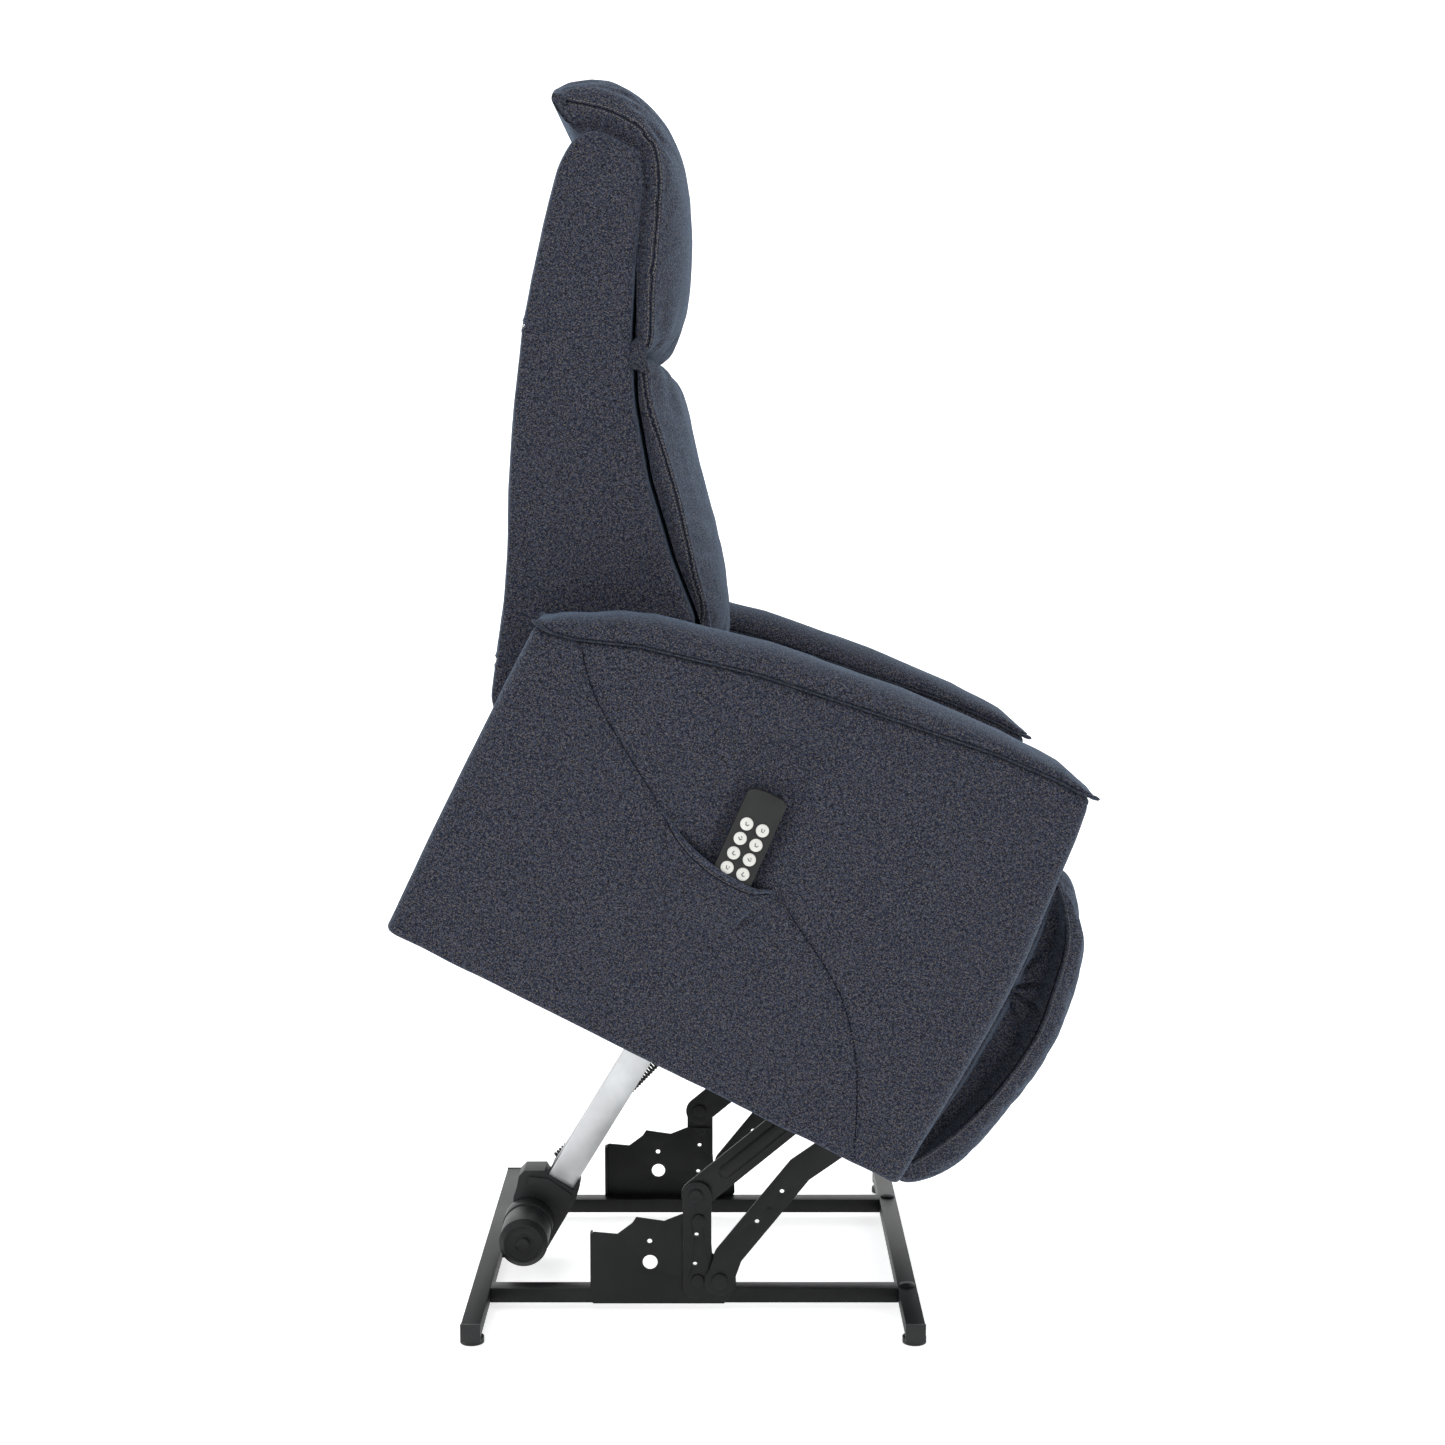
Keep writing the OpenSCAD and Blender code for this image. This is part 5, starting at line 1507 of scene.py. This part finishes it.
# ------------------------------------------------------------ coiled lead
# Laid out in the lift actuator's own frame: mm, x along it.
ACTUATOR_X, ACTUATOR_Z = -236.0, 44.0
ACTUATOR_ANGLE = math.radians(58.7)
COIL_START = (98, 46, 16)
COIL_LENGTH, COIL_RADIUS = 208, 6.4
COIL_TURNS, COIL_STEPS = 44, 22
COIL_SAG = 1.5
COIL_COS, COIL_SIN = 0.9707, 0.2402  # the coil's axis falls along x
LEAD_IN = [(66, 18, 10), (72, 30, 12), (80, 42, 14), (90, 50, 16)]
LEAD_OUT = [
    (308, 51, -37), (320, 48, -39), (345, 40, -35), (375, 29, -26), (402, 20, -16),
    (424, 14.5, -9)]


def actuator_to_world(points):
    x, y, z = np.asarray(points, float).reshape(-1, 3).T
    cos, sin = math.cos(ACTUATOR_ANGLE), math.sin(ACTUATOR_ANGLE)
    return np.stack([ACTUATOR_X + x * cos - z * sin, y,
                     ACTUATOR_Z + x * sin + z * cos], 1) / 1000


def lead_tube(name, curve, radius, sides):
    """A round cable whose section is carried along without twisting."""
    along = tangents(curve)
    normal = np.array([0, 1.0, 0]) if abs(along[0][1]) < 0.9 else np.array([1.0, 0, 0])
    points = []
    for centre, ahead in zip(curve, along):
        normal = normal - ahead * (normal @ ahead)
        normal /= np.linalg.norm(normal)
        sideways = np.cross(ahead, normal)
        for j in range(sides):
            angle = 2 * math.pi * j / sides
            points.append(centre + radius * (math.cos(angle) * normal
                                             + math.sin(angle) * sideways))
    faces = tube_faces(len(curve), sides)
    return face_outward(add_mesh(name, actuator_to_world(points), faces, [PLASTIC]))


def coiled_lead():
    step = np.arange(COIL_TURNS * COIL_STEPS + 1)
    angle = step * 2 * math.pi / COIL_STEPS
    along = COIL_LENGTH * step / (COIL_TURNS * COIL_STEPS)
    sag = COIL_SAG * np.sin(np.pi * along / COIL_LENGTH)
    rise = COIL_RADIUS * np.sin(angle)
    x, y, z = COIL_START
    coil = np.stack([x + COIL_COS * along + COIL_SIN * rise,
                     y + COIL_RADIUS * np.cos(angle),
                     z - COIL_SIN * along - sag + COIL_COS * rise], 1)
    lead_in = spline(LEAD_IN + [tuple(coil[0])], 30)
    lead_out = spline([tuple(coil[-1])] + LEAD_OUT, 40)
    path = np.vstack([lead_in[:-1], coil, lead_out[1:]])
    cable = lead_tube("coiled_lead", path, radius=1.75, sides=8)
    attach(cable, "lift_actuator", replaces=("motor_cable",))


coiled_lead()


# ------------------------------------------------------------ CAD parts that stay
def smooth_by_angle(degrees):
    """Node group that smooths all faces but keeps edges sharper than the angle."""
    tree = bpy.data.node_groups.new("smooth_by_angle", "GeometryNodeTree")
    for direction in ("INPUT", "OUTPUT"):
        tree.interface.new_socket("Geometry", in_out=direction,
                                  socket_type="NodeSocketGeometry")
    start = tree.nodes.new("NodeGroupInput")
    end = tree.nodes.new("NodeGroupOutput")
    angle = tree.nodes.new("GeometryNodeInputMeshEdgeAngle")
    compare = tree.nodes.new("FunctionNodeCompare")
    compare.operation = "LESS_THAN"
    compare.inputs[1].default_value = math.radians(degrees)
    tree.links.new(angle.outputs[0], compare.inputs[0])
    faces = tree.nodes.new("GeometryNodeSetShadeSmooth")
    faces.domain = "FACE"
    edges = tree.nodes.new("GeometryNodeSetShadeSmooth")
    edges.domain = "EDGE"
    tree.links.new(start.outputs[0], faces.inputs[0])
    tree.links.new(faces.outputs[0], edges.inputs[0])
    tree.links.new(compare.outputs[0], edges.inputs["Shade Smooth"])
    tree.links.new(edges.outputs[0], end.inputs[0])
    return tree


SMOOTH_GROUP = smooth_by_angle(32)
REPLACED = {"seat_cushion", "arm_cover_left", "arm_cover_right", "remote_pocket",
            "back_shell", "lumbar_cushion", "head_pillow", "legrest_pad", "motor_cable"}
UNBEVELLED = ("seat_springs", "lift_screw")
DEFAULT_BEVEL = 0.8  # mm
BEVELS = {
    "remote_case": 2.2, "lift_gearbox": 1.6, "lift_motor": 1.4, "base_feet": 1.2,
    "lift_nut": 1.2, "power_box": 2.0, "lift_channel": 0.5, "recline_actuator": 1.2,
    "legrest_actuator": 1.2}


def dress_cad_part(name, ob):
    slot = ob.data.materials[0].name.split(".")[0]
    ob.data.materials[0] = LINING if name == "legrest_board" else CAD_MATERIALS[slot]
    weld = ob.modifiers.new("weld", "WELD")
    weld.merge_threshold = 0.00001
    if not name.startswith("remote_button") and name not in UNBEVELLED:
        bevel = ob.modifiers.new("edges", "BEVEL")
        bevel.width = BEVELS.get(name, DEFAULT_BEVEL) / 1000
        bevel.segments = 3 if name == "remote_case" else 2
        bevel.limit_method = "ANGLE"
        bevel.angle_limit = math.radians(38)
        bevel.use_clamp_overlap = True
    ob.modifiers.new("smooth", "NODES").node_group = SMOOTH_GROUP


for name, ob in nodes.items():
    if name not in REPLACED:
        dress_cad_part(name, ob)


# ------------------------------------------------------------ stage, light, camera (metres)
def floor_material():
    material, graph, shader = new_material("pale_floor")
    coords = graph.node("ShaderNodeTexCoord")
    tone = graph.noise(coords.outputs["Object"], scale=2.0, detail=3)
    graph.feed_all(shader, {
        "Base Color": graph.ramp(tone, (0.3, (0.86, 0.86, 0.86)), (0.7, (0.90, 0.90, 0.90))),
        "Roughness": 0.9,
        "Specular IOR Level": 0.1,
        "Emission Color": (1, 1, 1),
        "Emission Strength": 0.68})
    return material


def floor():
    """A floor that curves up into a wall at +y."""
    half_width, near_y, wall_top = 9.0, -7.0, 7.0
    bend_start = bend_radius = 2.2
    drop = 0.0004  # just under the feet
    profile = [(near_y, 0.0), (bend_start, 0.0)]
    for angle in np.linspace(0.05, math.pi / 2, 24):
        profile.append((bend_start + bend_radius * math.sin(angle),
                        bend_radius - bend_radius * math.cos(angle)))
    profile.append((bend_start + bend_radius, wall_top))
    points = [(x, y, z - drop) for y, z in profile for x in (-half_width, half_width)]
    faces = [(2 * i, 2 * i + 1, 2 * i + 3, 2 * i + 2) for i in range(len(profile) - 1)]
    add_mesh("stage_floor", points, faces, [floor_material()])


def area_light(name, location, target, size, power, color=(1, 1, 1), size_y=None):
    light = bpy.data.lights.new(name, "AREA")
    light.shape = "RECTANGLE"
    light.size = size
    light.size_y = size_y or size
    light.energy = power
    light.color = color
    ob = bpy.data.objects.new(name, light)
    SCENE.collection.objects.link(ob)
    ob.location = location
    ob.rotation_euler = (Vector(target) - Vector(location)).to_track_quat("-Z", "Y").to_euler()


def studio_world():
    world = bpy.data.worlds.new("studio")
    SCENE.world = world
    world.use_nodes = True
    world.node_tree.nodes.clear()
    graph = Graph(world.node_tree)
    output = graph.node("ShaderNodeOutputWorld")
    background = graph.node("ShaderNodeBackground",
                            {"Color": (0.97, 0.985, 1.0), "Strength": 0.59})
    graph.feed(background.outputs[0], output.inputs[0])
    SCENE.view_settings.view_transform = "Standard"


def camera():
    """Looks along +y at the chair's right side, slightly downwards."""
    lens = bpy.data.cameras.new("camera")
    lens.lens = 57.97
    lens.sensor_width = 36.0
    lens.clip_start = 0.05
    ob = bpy.data.objects.new("camera", lens)
    SCENE.collection.objects.link(ob)
    ob.location = (0.0377, -3.2025, 1.130)
    ob.rotation_euler = (math.radians(83.563), 0, 0)
    SCENE.camera = ob


floor()
area_light("top_softbox", location=(0.1, -0.6, 3.3), target=(0, 0, 0.8),
           size=3.2, size_y=2.6, power=37)
area_light("front_softbox", location=(-1.2, -3.6, 2.3), target=(0, 0, 0.8), size=2.4, power=43)
area_light("right_softbox", location=(3.0, -1.2, 1.6), target=(0.1, 0, 0.8), size=2.0, power=16)
area_light("left_rim", location=(-2.8, 1.0, 1.9), target=(-0.1, 0, 0.9), size=1.6, power=22,
           color=(0.93, 0.97, 1.0))
studio_world()
camera()
